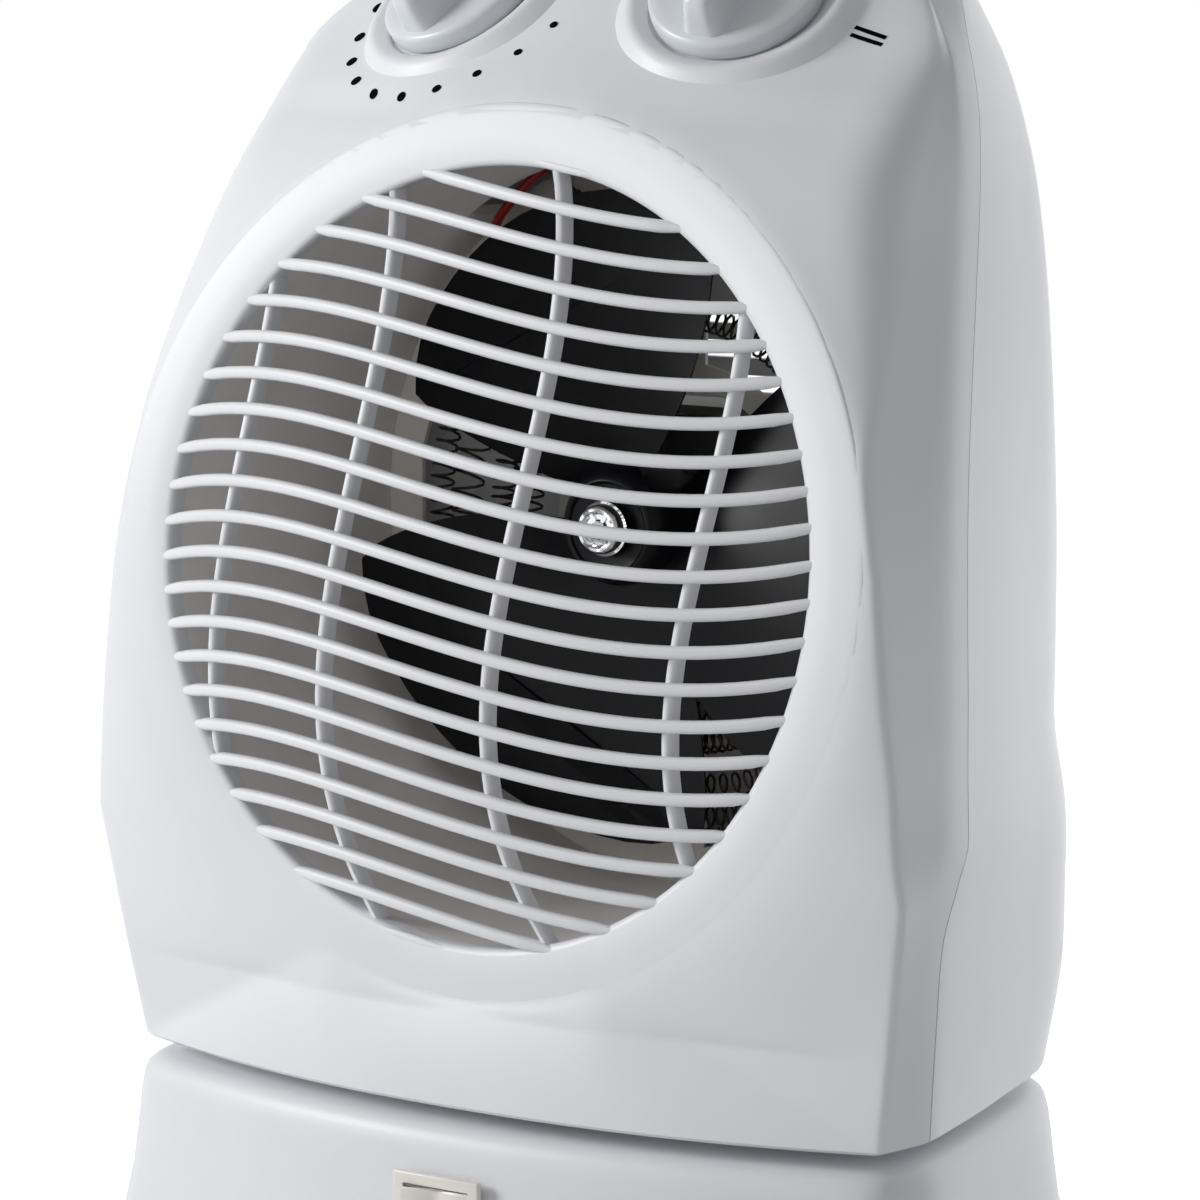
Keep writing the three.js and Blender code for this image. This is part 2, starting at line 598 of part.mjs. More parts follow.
function fanSolid() {
  const bore = shaft.radius + gap;
  let solid = solidOf(turnedY(closedProfile([
    [bore, fan.hubFront], [fan.noseRadius, fan.hubFront], [fan.hubRadius, fan.hubFront + fan.noseDepth],
    [fan.hubRadius, fan.hubBack], [bore, fan.hubBack],
  ])));
  for (let i = 0; i < fan.bladeCount; i += 1) {
    solid = solid.add(bladeSolid(fan.firstBlade + (i * 360 * degree) / fan.bladeCount));
  }
  return geometryOf(solid);
}

function clipSolid() {
  const bore = shaft.radius + gap;
  const back = fan.hubFront - gap;
  const front = fan.hubFront - clip.length;
  return geometryOf(solidOf(turnedY(closedProfile([
    [bore, back], [clip.radius, back], [clip.lipRadius, front + clip.lip], [clip.lipRadius - clip.lip, front],
    [clip.cupRadius, front + clip.cupDepth], [bore, front + clip.cupDepth],
  ]), sides.rod)));
}

// Motor

function flatShape(points, holes = []) {
  const shape = new THREE.Shape(points.map(([x, z]) => new THREE.Vector2(x, z)));
  holes.forEach((hole) => shape.holes.push(hole));
  return shape;
}

const rectangle = (left, right, low, high) => [[left, low], [right, low], [right, high], [left, high]];
const rectanglePath = (left, right, low, high) => new THREE.Path(
  rectangle(left, right, low, high).reverse().map(([x, z]) => new THREE.Vector2(x, z)));
const roundPath = (radius, x = 0, z = 0) => new THREE.Path().absarc(x, z, radius, 0, 360 * degree, true);

// A flat plate standing across the Y axis, from one depth to another
function slab(shape, front, thick, curveSegments = 12) {
  const geometry = new THREE.ExtrudeGeometry(shape, { depth: thick, bevelEnabled: false, curveSegments });
  return geometryOf(solidOf(geometry.rotateX(quarterTurn).translate(0, front + thick, 0)));
}

function statorSolid() {
  const low = -motor.below + motor.limb;
  const shape = flatShape(rectangle(-motor.halfWidth, motor.halfWidth, -motor.below, motor.above), [
    roundPath(motor.boreRadius),
    rectanglePath(-motor.windowHalfWidth, motor.windowHalfWidth, low, low + motor.windowHeight),
  ]);
  return slab(shape, motorFront, motorStack);
}

function windingSolid() {
  const limbTop = -motor.below + motor.limb;
  const outer = box(2 * motor.windingHalfWidth, motorStack + 2 * (motor.windingWall + gap),
    motor.limb + 2 * (motor.windingBulk + gap), [0, (motorFront + motorBack) / 2, limbTop - motor.limb / 2]);
  const inner = box(2 * (motor.windingHalfWidth + overrun), motorStack + 2 * gap,
    motor.limb + 2 * gap, [0, (motorFront + motorBack) / 2, limbTop - motor.limb / 2]);
  return geometryOf(outer.subtract(inner));
}

function bracketSolid(front) {
  const shape = flatShape(
    rectangle(-motor.bracketHalfWidth, motor.bracketHalfWidth, -motor.bracketReach, motor.bracketReach),
    [roundPath(shaft.radius + gap)]);
  return slab(shape, front, motor.bracketThick, 8);
}

function rotorSolid() {
  const [front, back] = [motorFront + motor.rotorInset, motorBack - motor.rotorInset];
  const bore = shaft.radius + gap;
  return geometryOf(solidOf(turnedY(closedProfile([
    [bore, front], [motor.rotorRadius, front], [motor.rotorRadius, back], [bore, back],
  ]))));
}

// Duct and heating element

function ductSolid() {
  const front = grille.collarDepth + gap;
  const outerRadius = ductRadius + duct.wall;
  const tube = turnedY(closedProfile([
    [ductRadius, front], [outerRadius, front], [outerRadius, duct.back], [ductRadius, duct.back],
  ]), sides.opening);
  const { left, right, low } = sized(notchShares, ductRadius);
  const top = outerRadius + overrun;
  const centre = [(left + right) / 2, duct.back, (top + low) / 2];
  const notch = box(right - left, 2 * duct.notchDepth, top - low, centre);
  return geometryOf(solidOf(leaned(tube, front + gap)).subtract(notch));
}

function micaSolid() {
  const innerRim = micaHubShare * ductRadius;
  const radius = ductRadius + mica.overlap;
  const outerRim = radius - mica.outerBand;
  const holes = [roundPath(innerRim - mica.hubBand)];
  const turn = (360 * degree) / mica.spokeCount;
  for (let i = 0; i < mica.spokeCount; i += 1) {
    const middle = turn * i;
    const edgeAngle = (rim) => turn / 2 - Math.asin(mica.spokeWidth / 2 / rim);
    const arc = (rim, sign) => Array.from({ length: mica.arcSteps + 1 }, (_, j) => {
      const angle = middle + sign * edgeAngle(rim) * (1 - (2 * j) / mica.arcSteps);
      return new THREE.Vector2(rim * Math.cos(angle), rim * Math.sin(angle));
    });
    holes.push(new THREE.Path([...arc(outerRim, 1), ...arc(innerRim, -1)]));
  }
  const shape = new THREE.Shape().absarc(0, 0, radius, 0, 360 * degree, false);
  holes.forEach((hole) => shape.holes.push(hole));
  return slab(shape, duct.back + gap, mica.thick);
}

function coilPoints(from, to) {
  const steps = coil.curls * coil.curlSteps;
  return Array.from({ length: steps + 1 }, (_, i) => {
    const t = i / steps;
    const turn = 360 * degree * coil.curls * t;
    const angle = coil.start + coil.sweep * t;
    const radius = ductRadius * (from + (to - from) * t) + coil.curlRadius * Math.cos(turn);
    const depth = duct.back - coil.behind + coil.curlRadius * Math.sin(turn);
    return new THREE.Vector3(radius * Math.cos(angle), depth, radius * Math.sin(angle));
  });
}

// One unbroken round wire through points that are close together
function wireThrough(points) {
  let across = new THREE.Vector3(0, 1, 0);
  const rings = points.map((point, i) => {
    const next = points[Math.min(i + 1, points.length - 1)];
    const before = points[Math.max(i - 1, 0)];
    const along = next.clone().sub(before).normalize();
    across = across.clone().addScaledVector(along, -across.dot(along)).normalize();
    const other = along.clone().cross(across);
    return Array.from({ length: coil.sides }, (_, k) => {
      const angle = (360 * degree * k) / coil.sides;
      return point.clone().addScaledVector(across, coil.wireRadius * Math.cos(angle))
        .addScaledVector(other, coil.wireRadius * Math.sin(angle));
    });
  });
  return geometryOf(solidOf(skin(rings)));
}

function leastGap(points) {
  let least = Infinity;
  points.forEach((point, i) => points.slice(i + coil.curlSteps / 2).forEach((other) => {
    least = Math.min(least, point.distanceTo(other) - 2 * coil.wireRadius);
  }));
  return least;
}

function coilSolid(label, from, to) {
  const points = coilPoints(from, to);
  console.log(`${label}: least gap to itself ${leastGap(points).toFixed(2)} mm`);
  return wireThrough(points);
}

function cutoutSolid() {
  const [front, out] = [duct.back - cutout.height, cutoutShare * ductRadius];
  return geometryOf(rodY(cutout.radius, front, duct.back, out * Math.cos(cutout.angle),
    out * Math.sin(cutout.angle), sides.rod));
}

// Insulated wires from the switches to the element. Each starts under its switch, runs through points
// given as shares of the duct's radius and of its depth, and ends straight on the mica.
const wireRoutes = {
  wire_red: {
    side: 1, aside: 0, endShares: [-0.591, 0.709],
    routeShares: [[0.319, 0.836, 1.147], [0.118, 0.896, 1.111], [-0.165, 0.92, 1.046],
      [-0.378, 0.884, 0.946], [-0.544, 0.896, 0.804], [-0.591, 0.944, 0.721]],
  },
  wire_black: {
    side: -1, aside: 0, endShares: [-0.355, 0.865],
    routeShares: [[-0.39, 0.836, 1.099], [-0.366, 0.908, 1.005], [-0.355, 0.944, 0.898],
      [-0.355, 0.974, 0.87]],
  },
  wire_white: {
    side: -1, aside: wire.aside, endShares: [0.236, 0.891],
    routeShares: [[-0.189, 0.848, 1.17], [0.024, 0.872, 1.099], [0.165, 0.908, 1.005], [0.236, 0.944, 0.916]],
  },
};

function wireSolid({ side, aside, routeShares, endShares }) {
  const start = new THREE.Vector3(aside, 0, switchBottom - wire.lead).applyMatrix4(panelPlace(side));
  start.sub(new THREE.Vector3(0, ringY, ringZ));
  const size = new THREE.Vector3(ductRadius, duct.back, ductRadius);
  const middle = routeShares.map((shares) => new THREE.Vector3(...shares).multiply(size));
  const end = new THREE.Vector3(endShares[0] * ductRadius, duct.back - gap, endShares[1] * ductRadius);
  const path = new THREE.CatmullRomCurve3([start, ...middle, end]);
  const section = new THREE.Shape(Array.from({ length: wire.sides }, (_, i) => {
    const angle = (360 * degree * i) / wire.sides;
    return new THREE.Vector2(wire.radius * Math.cos(angle), wire.radius * Math.sin(angle));
  }));
  const options = { steps: wire.steps, bevelEnabled: false, extrudePath: path };
  return geometryOf(solidOf(new THREE.ExtrudeGeometry(section, options)));
}

// Screws and the other small turned pieces

function shellScrewSolid() {
  const seat = screwMeet + gap + shellScrew.web + gap;
  return geometryOf(solidOf(turnedY(openProfile([
    [0, seat - shellScrew.shankLength], [shellScrew.shankRadius, seat - shellScrew.shankLength],
    [shellScrew.shankRadius, seat], [shellScrew.headRadius, seat],
    [shellScrew.headRadius, seat + shellScrew.headHeight], [0, seat + shellScrew.headHeight],
  ]), sides.screw)));
}

function baseScrewSolid() {
  return geometryOf(solidOf(turnedZ(openProfile([
    [0, baseScrew.headBottom], [baseScrew.headRadius, baseScrew.headBottom],
    [baseScrew.headRadius, baseScrew.headTop], [baseScrew.shankRadius, baseScrew.headTop],
    [baseScrew.shankRadius, baseScrew.top], [0, baseScrew.top],
  ]), sides.screw)));
}

function footSolid() {
  return geometryOf(solidOf(turnedZ(closedProfile([
    [foot.headBore, 0], [foot.radius - foot.edge, 0], [foot.radius, foot.edge], [foot.radius, foot.height],
    [foot.hole, foot.height], [foot.hole, foot.ledge], [foot.headBore, foot.ledge],
  ]), sides.rod)));
}

// Base: the plan of the head's underside, grown outwards by a given amount

function baseOutline(z, grow) {
  const low = headSections[0];
  const grown = (point, x, y) => new THREE.Vector2(point.x + x, point.y + y);
  return outline({
    z, power: low.power, front: low.front - grow, back: low.back + grow,
    corner: grown(low.corner, grow, -grow),
    seam: grown(low.seam, grow, 0), rear: grown(low.rear, grow, grow),
  });
}

const postPlaces = [-1, 1].flatMap((side) => [-1, 1].map((end) => [
  side * basePostShares.side * head.halfWidth, end * basePostShares.end * head.depth,
]));

function baseShellSolid() {
  const outer = solidOf(skin([
    baseOutline(base.rim, base.flare), baseOutline(baseShoulder, 0),
    baseOutline(base.height - base.roundDrop, -base.roundStep), baseOutline(base.height, -base.topInset),
  ]));
  const inner = solidOf(skin([
    baseOutline(base.rim - overrun, base.flare - base.wall), baseOutline(base.rim, base.flare - base.wall),
    baseOutline(baseShoulder - base.wall, -base.wall),
    baseOutline(base.height - base.wall, -base.topInset - base.wall),
  ]));
  let shell = outer.subtract(inner);
  for (const [x, y] of postPlaces) {
    const [bottom, top] = [plate.bottom + plate.thick + gap, base.height - base.wall / 2];
    const post = rodZ(base.postRadius, bottom, top, x, y, sides.screw);
    const bore = rodZ(base.postBore, 0, base.postBoreTop, x, y, sides.screw);
    shell = shell.add(post.intersect(outer)).subtract(bore);
  }
  const hole = rodZ(base.holeRadius, baseShoulder - overrun, base.height + overrun, 0, 0, sides.collar);
  const switchHole = box(2 * (rocker.bodyHalfWidth + rocker.cutoutGap), head.depth / 3,
    rocker.bodyHeight + 2 * rocker.cutoutGap, [0, headFront, rockerHeight]);
  const cordHole = rodY(gland.holeRadius, headBack - head.depth / 2, headBack + base.flare + overrun,
    0, gland.height, sides.rod);
  return geometryOf(cut(shell, hole, switchHole, cordHole));
}

// Where the base's front and back walls stand at a height, on the middle line
const wallGrow = (z) => (base.flare * (baseShoulder - z)) / (baseShoulder - base.rim);
const baseFrontAt = (z) => headSections[0].front - wallGrow(z);
const baseBackAt = (z) => headSections[0].back + wallGrow(z);

function basePlateSolid() {
  const top = plate.bottom + plate.thick;
  let solid = solidOf(skin([baseOutline(plate.bottom, plate.outline), baseOutline(top, plate.outline)]));
  for (const side of [-1, 1]) {
    solid = solid.add(rodZ(plate.motorPostRadius, plate.bottom, oscBottom - gap, side * osc.postSide,
      osc.behind, sides.screw));
  }
  const holes = postPlaces.map(([x, y]) => rodZ(plate.screwHole, 0, top + overrun, x, y, sides.screw));
  return geometryOf(cut(solid, ...holes, rodZ(plate.plungerHole, 0, top + overrun, tipSide, tipBehind)));
}

// Rocker switch: its frame stands on the sloping front wall, upright
function rockerFace() {
  const lowEdge = rockerHeight - rocker.plateHeight / 2;
  return baseFrontAt(lowEdge) - gap;
}

function bezelFrameSolid() {
  const back = rockerFace();
  const z = rockerHeight;
  const plateBox = box(2 * rocker.plateHalfWidth, rocker.plateThick, rocker.plateHeight,
    [0, back - rocker.plateThick / 2, z]);
  const body = box(2 * rocker.bodyHalfWidth, rocker.bodyDepth, rocker.bodyHeight,
    [0, back + rocker.bodyDepth / 2 - rocker.plateThick / 2, z]);
  const pocket = box(2 * rocker.pocketHalfWidth, 2 * rocker.pocketDepth, rocker.pocketHeight,
    [0, back - rocker.plateThick, z]);
  return geometryOf(cut(plateBox.add(body), pocket));
}

// The button's outline seen from above, tilted about the upright pin behind its crest
function rockerSolid() {
  const outlinePoints = [
    [-rocker.buttonHalfWidth, -rocker.tip], [0, -rocker.crest], [rocker.buttonHalfWidth, -rocker.tip],
    [rocker.buttonHalfWidth, 0], [0, rocker.keel], [-rocker.buttonHalfWidth, 0],
  ];
  const shape = flatShape(outlinePoints);
  const geometry = new THREE.ExtrudeGeometry(shape, { depth: rocker.buttonHeight, bevelEnabled: false });
  geometry.translate(0, 0, -rocker.buttonHeight / 2).rotateZ(rocker.tilt);
  return geometryOf(solidOf(geometry));
}

function glandSolid() {
  const wallBack = baseBackAt(gland.height - gland.radius);
  const wallFront = baseBackAt(gland.height) - base.wall;
  const { radius, boreRadius, holeRadius, flange, inside } = gland;
  return geometryOf(solidOf(turnedY(closedProfile([
    [boreRadius, wallFront - inside], [holeRadius - gap, wallFront - inside],
    [holeRadius - gap, wallBack + gap],
    [radius, wallBack + gap], [radius, wallBack + gap + flange], [boreRadius, wallBack + gap + flange],
  ]), sides.rod)));
}

// Swivel

const washer = (inner, outer, bottom, top) => geometryOf(solidOf(turnedZ(closedProfile([
  [inner, bottom], [outer, bottom], [outer, top], [inner, top],
]))));

function neckSolid() {
  const floorTop = headBottom + head.wall + gap;
  const bottom = headBottom - neck.drop;
  const { outerRadius, innerRadius, flangeRadius, flangeThick } = neck;
  return geometryOf(solidOf(turnedZ(closedProfile([
    [innerRadius, bottom], [outerRadius, bottom], [outerRadius, floorTop], [flangeRadius, floorTop],
    [flangeRadius, floorTop + flangeThick], [innerRadius, floorTop + flangeThick],
  ]))));
}

const bushBottom = base.height - bush.drop;

function bushSolid() {
  const inner = neck.outerRadius + gap;
  const flangeBottom = base.height + gap;
  return geometryOf(solidOf(turnedZ(closedProfile([
    [inner, bushBottom], [inner + bush.wall, bushBottom], [inner + bush.wall, flangeBottom],
    [bush.flangeRadius, flangeBottom], [bush.flangeRadius, headBottom - gap], [inner, headBottom - gap],
  ]))));
}

const retainerTop = bushBottom - gap;
const yokeTop = retainerTop - retainer.thick - gap;

function yokeSolid() {
  const { ringRadius, armHalfWidth, slotHalfWidth, thick } = yoke;
  const bottom = yokeTop - thick;
  const [slotStart, slotEnd] = [osc.behind - yoke.slotBefore, osc.behind + osc.slotAfter];
  const reach = slotEnd + yoke.armEnd;
  const ring = rodZ(ringRadius, bottom, yokeTop, 0, 0, sides.collar);
  const arm = box(2 * armHalfWidth, reach, thick, [0, reach / 2, (bottom + yokeTop) / 2]);
  const hole = rodZ(neck.outerRadius + gap, bottom - overrun, yokeTop + overrun, 0, 0, sides.collar);
  const slot = box(2 * slotHalfWidth, slotEnd - slotStart, thick + overrun,
    [0, (slotStart + slotEnd) / 2, (bottom + yokeTop) / 2]);
  return geometryOf(cut(ring.add(arm), hole, slot));
}

function oscillationMotorSolid() {
  return geometryOf(solidOf(turnedZ(openProfile([
    [0, oscBottom], [osc.radius, oscBottom], [osc.radius, oscTop], [osc.spigotRadius, oscTop],
    [osc.spigotRadius, oscTop + osc.spigot], [0, oscTop + osc.spigot],
  ]))));
}

function crankSolid() {
  const bottom = oscTop + osc.spigot + gap;
  const disc = rodZ(osc.crankRadius, bottom, bottom + osc.crankThick, 0, 0, sides.collar);
  const pin = rodZ(osc.pinRadius, bottom, yokeTop - yoke.thick - gap, 0, -osc.pinOffset, sides.screw);
  return geometryOf(disc.add(pin));
}

// Tip-over switch

function tipSwitchSolid() {
  const bottom = plate.bottom + plate.thick + gap;
  const block = box(2 * tip.halfWidth, 2 * tip.halfDepth, tip.top - bottom, [0, 0, (tip.top + bottom) / 2]);
  return geometryOf(block.subtract(rodZ(tip.bore, 0, tip.top + overrun, 0, 0)));
}

const plungerSolid = () => geometryOf(rodZ(tip.plungerRadius, tip.plungerTip, tip.plungerTop, 0, 0));

// Assembly

function piece(name, geometry, material, parent, x = 0, y = 0, z = 0) {
  const mesh = new THREE.Mesh(geometry, material);
  mesh.name = name;
  mesh.position.set(x, y, z);
  parent.add(mesh);
  return mesh;
}

function buildBase(parent) {
  piece('base_shell', baseShellSolid(), whitePlastic, parent);
  piece('base_plate', basePlateSolid(), whitePlastic, parent);
  postPlaces.forEach(([x, y], i) => {
    piece(`foot_${i + 1}`, footSolid(), rubber, parent, x, y);
    piece(`base_screw_${i + 1}`, baseScrewSolid(), steel, parent, x, y);
  });
  piece('swivel_bush', bushSolid(), greyPlastic, parent);
  piece('oscillation_motor', oscillationMotorSolid(), steel, parent, 0, osc.behind);
  piece('crank_disc', crankSolid(), brass, parent, 0, osc.behind);
  piece('tip_switch', tipSwitchSolid(), blackPlastic, parent, tipSide, tipBehind);
  piece('tip_plunger', plungerSolid(), greyPlastic, parent, tipSide, tipBehind);
  piece('rocker_bezel', bezelFrameSolid(), creamPlastic, parent);
  piece('rocker_button', rockerSolid(), creamPlastic, parent, 0, rockerFace(), rockerHeight);
  piece('cord_gland', glandSolid(), blackPlastic, parent, 0, 0, gland.height);
}

function buildHead(parent) {
  piece('front_shell', geometryOf(frontShell()), whitePlastic, parent);
  piece('rear_shell', geometryOf(rearShell()), whitePlastic, parent);
  piece('swivel_neck', neckSolid(), greyPlastic, parent);
  const retainerBottom = retainerTop - retainer.thick;
  piece('retainer_ring',
    washer(neck.outerRadius + gap, retainer.radius, retainerBottom, retainerTop), steel, parent);
  piece('yoke_arm', yokeSolid(), steel, parent);
  const ring = new THREE.Group();
  ring.position.set(0, ringY, ringZ);
  parent.add(ring);
  piece('front_grille', frontGrille(), brightPlastic, ring);
  piece('air_duct', ductSolid(), greyPlastic, ring);
  piece('mica_plate', micaSolid(), micaSheet, ring);
  piece('coil_inner', coilSolid('coil_inner', coilShares.innerStart, coilShares.innerEnd), nichrome, ring);
  piece('coil_outer', coilSolid('coil_outer', coilShares.outerStart, coilShares.outerEnd), nichrome, ring);
  piece('thermal_cutout', cutoutSolid(), steel, ring);
  piece('wire_red', wireSolid(wireRoutes.wire_red), redSleeve, ring);
  piece('wire_black', wireSolid(wireRoutes.wire_black), blackSleeve, ring);
  piece('wire_white', wireSolid(wireRoutes.wire_white), whiteSleeve, ring);
  screwPlaces.forEach(([x, z], i) => piece(`shell_screw_${i + 1}`, shellScrewSolid(), steel, ring, x, 0, z));
  buildFan(ring);
  for (const [side, name] of [[-1, 'thermostat'], [1, 'selector']]) {
    const place = new THREE.Group();
    panelPlace(side).decompose(place.position, place.quaternion, place.scale);
    parent.add(place);
    piece(`${name}_knob`, knobSolid(), whitePlastic, place);
    piece(`${name}_body`, switchSolid(), blackPlastic, place);
  }
}

function buildFan(ring) {
  const axis = new THREE.Group();
  axis.position.set(0, 0, fan.axisRise);
  ring.add(axis);
  piece('fan', fanSolid(), blackPlastic, axis);
  piece('fan_clip', clipSolid(), chrome, axis);
  const shaftFront = fan.hubFront - shaft.nose;
  piece('motor_shaft', geometryOf(rodY(shaft.radius, shaftFront, shaftBack, 0, 0)), steel, axis);
  piece('motor_rotor', rotorSolid(), steel, axis);
  piece('motor_stator', statorSolid(), steel, axis);
  piece('stator_winding', windingSolid(), copper, axis);
  piece('bracket_front', bracketSolid(motorFront - gap - motor.bracketThick), steel, axis);
  piece('bracket_rear', bracketSolid(motorBack + gap), steel, axis);
}

const group = new THREE.Group();
buildBase(group);
buildHead(group);

export default group;
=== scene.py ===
# %% [markdown]
# # An oscillating fan heater, made piece by piece
# The heater stands on a flared base, and its head swings from side to side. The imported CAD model
# comes first as a fixed frame: it says where each piece goes and which body carries it. The pieces
# that are seen get their finished shapes and materials here.

# %% Load the frame
import math

import bmesh
import bpy
from mathutils import Matrix, Vector


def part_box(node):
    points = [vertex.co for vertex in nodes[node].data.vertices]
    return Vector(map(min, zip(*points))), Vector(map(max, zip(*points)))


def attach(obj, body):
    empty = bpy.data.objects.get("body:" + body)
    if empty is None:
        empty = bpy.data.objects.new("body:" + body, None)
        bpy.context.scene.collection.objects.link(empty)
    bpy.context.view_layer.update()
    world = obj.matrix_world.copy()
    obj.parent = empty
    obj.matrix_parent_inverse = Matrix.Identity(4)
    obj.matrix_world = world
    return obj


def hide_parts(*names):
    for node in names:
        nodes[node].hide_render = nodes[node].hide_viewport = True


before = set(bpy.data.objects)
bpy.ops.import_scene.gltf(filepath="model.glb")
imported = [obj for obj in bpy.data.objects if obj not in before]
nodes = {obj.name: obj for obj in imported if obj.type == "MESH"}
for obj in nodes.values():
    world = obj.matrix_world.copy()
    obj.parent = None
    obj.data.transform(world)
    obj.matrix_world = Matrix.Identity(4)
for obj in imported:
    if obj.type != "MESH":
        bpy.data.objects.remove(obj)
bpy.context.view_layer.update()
print("nodes in the frame:", len(nodes))

# %% [markdown]
# ## Places that everything shares
# The real heater was drawn round the middle of its grille, so heights and depths inside the head are
# measured from there. Everything below is written in millimetres and turned into metres by one factor.

# %% Shared sizes
MM = 0.001
HEAD_BOTTOM, HEAD_HEIGHT = 62.0, 260.0
HEAD_HALF_WIDTH, HEAD_DEPTH, HEAD_FRONT = 107.5, 132.5, -64.25
WALL = 2.6
RING_Y = HEAD_FRONT + 10.5
RING_Z = HEAD_BOTTOM + 118.3
OPENING_RADIUS, BAND_RADIUS = 83.5, 97.0
LEAN, BOW = 0.12, 4.9 / OPENING_RADIUS ** 2
FAN_Z = RING_Z + 1.5
BASE_HEIGHT, BASE_RIM, BASE_FLARE = 58.0, 3.0, 8.0


def leaning(height):
    """Depth of the leaning grille face at a height above the grille's middle."""
    return LEAN * height + BOW * height ** 2


def at_ring(x, depth, height):
    return Vector((x, RING_Y + depth, RING_Z + height)) * MM


# %% [markdown]
# ## Camera
# The photograph is taken from the right and a little above, from about a metre away, with a lens
# that is long for that distance. A camera in Blender looks along its own -Z axis, so its matrix is
# built from the three directions: right, up and back.

# %% Make the camera
TURN, TILT = math.radians(34.0), math.radians(8.2)
DISTANCE, ASIDE, BELOW = 1022.0, 26.81, 8.52
FOCAL = 143.2
back = Vector((math.sin(TURN) * math.cos(TILT), -math.cos(TURN) * math.cos(TILT), math.sin(TILT)))
right = Vector((math.cos(TURN), math.sin(TURN), 0.0))
up = back.cross(right)
spot = at_ring(0, 0, 0) + (DISTANCE * back + ASIDE * right - BELOW * up) * MM
camera = bpy.data.objects.new("camera", bpy.data.cameras.new("camera"))
camera.data.lens = FOCAL
camera.data.clip_end = 20
camera.matrix_world = Matrix.Translation(spot) @ Matrix((right, up, back)).transposed().to_4x4()
bpy.context.scene.collection.objects.link(camera)
bpy.context.scene.camera = camera
print("camera at", [round(value, 3) for value in spot])

# %% [markdown]
# ## Helpers for meshes
# Most pieces here are either turned on a lathe or lofted: a ring of points is extruded from one
# section to the next. Both use Blender's own operators, so the faces join up without any counting.


# %% Finish a mesh as a piece
def smooth_by_angle(mesh, degrees):
    """Smooth faces, with a sharp edge wherever two faces meet at more than the angle."""
    bm = bmesh.new()
    bm.from_mesh(mesh)
    for face in bm.faces:
        face.smooth = True
    for edge in bm.edges:
        edge.smooth = edge.is_manifold and edge.calc_face_angle(0) < math.radians(degrees)
    bm.to_mesh(mesh)
    bm.free()


def object_from(bm, name):
    bmesh.ops.remove_doubles(bm, verts=bm.verts, dist=1e-7)
    bmesh.ops.recalc_face_normals(bm, faces=bm.faces)
    mesh = bpy.data.meshes.new(name)
    bm.to_mesh(mesh)
    bm.free()
    made = bpy.data.objects.new(name, mesh)
    bpy.context.scene.collection.objects.link(made)
    return made


def finish_piece(piece, material, body, replaced=(), sharp=38):
    smooth_by_angle(piece.data, sharp)
    piece.data.materials.clear()
    piece.data.materials.append(material)
    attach(piece, body)
    if replaced:
        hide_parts(*replaced)
    return piece


# %% Loft rings of points
def ring_of(bm, points):
    ring = bmesh.ops.create_circle(bm, segments=len(points), radius=1)["verts"][:1]
    while len(ring) < len(points):
        ring.append(next(edge.other_vert(ring[-1]) for edge in ring[-1].link_edges
                         if edge.other_vert(ring[-1]) not in ring))
    for vert, point in zip(ring, points):
        vert.co = point
    return ring


def next_ring(bm, ring, points):
    """Extrudes a ring's edges and puts the new ring on the given points."""
    edges = [bm.edges.get(pair) for pair in zip(ring, ring[1:] + ring[:1])]
    made = set(bmesh.ops.extrude_edge_only(bm, edges=edges)["geom"])
    following = [next(edge.other_vert(vert) for edge in vert.link_edges if edge.other_vert(vert) in made)
                 for vert in ring]
    for vert, point in zip(following, points):
        vert.co = point
    return following


def loft(bm, rings, capped=True):
    ring = ring_of(bm, rings[0])
    if capped:
        bmesh.ops.contextual_create(bm, geom=ring)
    for points in rings[1:]:
        ring = next_ring(bm, ring, points)
    if capped:
        bmesh.ops.contextual_create(bm, geom=ring)


# %% Turn profiles on a lathe
def turned(bm, profile, steps, axis=(0, 0, 1), closed=False):
    """Spins a profile of pairs, radius and place on the axis, in millimetres, round the axis."""
    direction = Vector(axis)
    sideways = Vector((1, 0, 0)) if abs(direction.x) < 0.5 else Vector((0, 0, 1))
    verts = [bm.verts.new((sideways * radius + direction * along) * MM) for radius, along in profile]
    pairs = list(zip(verts, verts[1:])) + ([(verts[-1], verts[0])] if closed else [])
    edges = [bm.edges.new(pair) for pair in pairs]
    bmesh.ops.spin(bm, geom=verts + edges, cent=(0, 0, 0), axis=direction, angle=math.tau,
                   steps=steps, use_merge=True, use_duplicate=False)
    bmesh.ops.remove_doubles(bm, verts=bm.verts, dist=1e-7)


def moved(bm, matrix, verts=None):
    bmesh.ops.transform(bm, matrix=matrix, verts=verts or bm.verts)


def block(bm, size, centre):
    """A box with sides in millimetres."""
    made = bmesh.ops.create_cube(bm, size=MM)["verts"]
    bmesh.ops.scale(bm, vec=size, verts=made)
    bmesh.ops.translate(bm, vec=Vector(centre) * MM, verts=made)
    return made


# %% Cut and join with Boolean modifiers
def shaped_by(piece, cutter, operation):
    """Applies one Boolean and removes the cutter."""
    modifier = piece.modifiers.new("shape", "BOOLEAN")
    modifier.operation = operation
    modifier.solver = "MANIFOLD"
    modifier.object = cutter
    applied(piece)
    bpy.data.objects.remove(cutter)


def applied(piece):
    bpy.context.view_layer.update()
    evaluated = piece.evaluated_get(bpy.context.evaluated_depsgraph_get())
    mesh = bpy.data.meshes.new_from_object(evaluated)
    piece.modifiers.clear()
    piece.data = mesh


# %% [markdown]
# ## Materials
# Moulded plastic is never perfectly even: it has a fine spark-eroded grain, and its gloss changes a
# little from place to place. Both come from noise on object coordinates, at the size of the real grain.


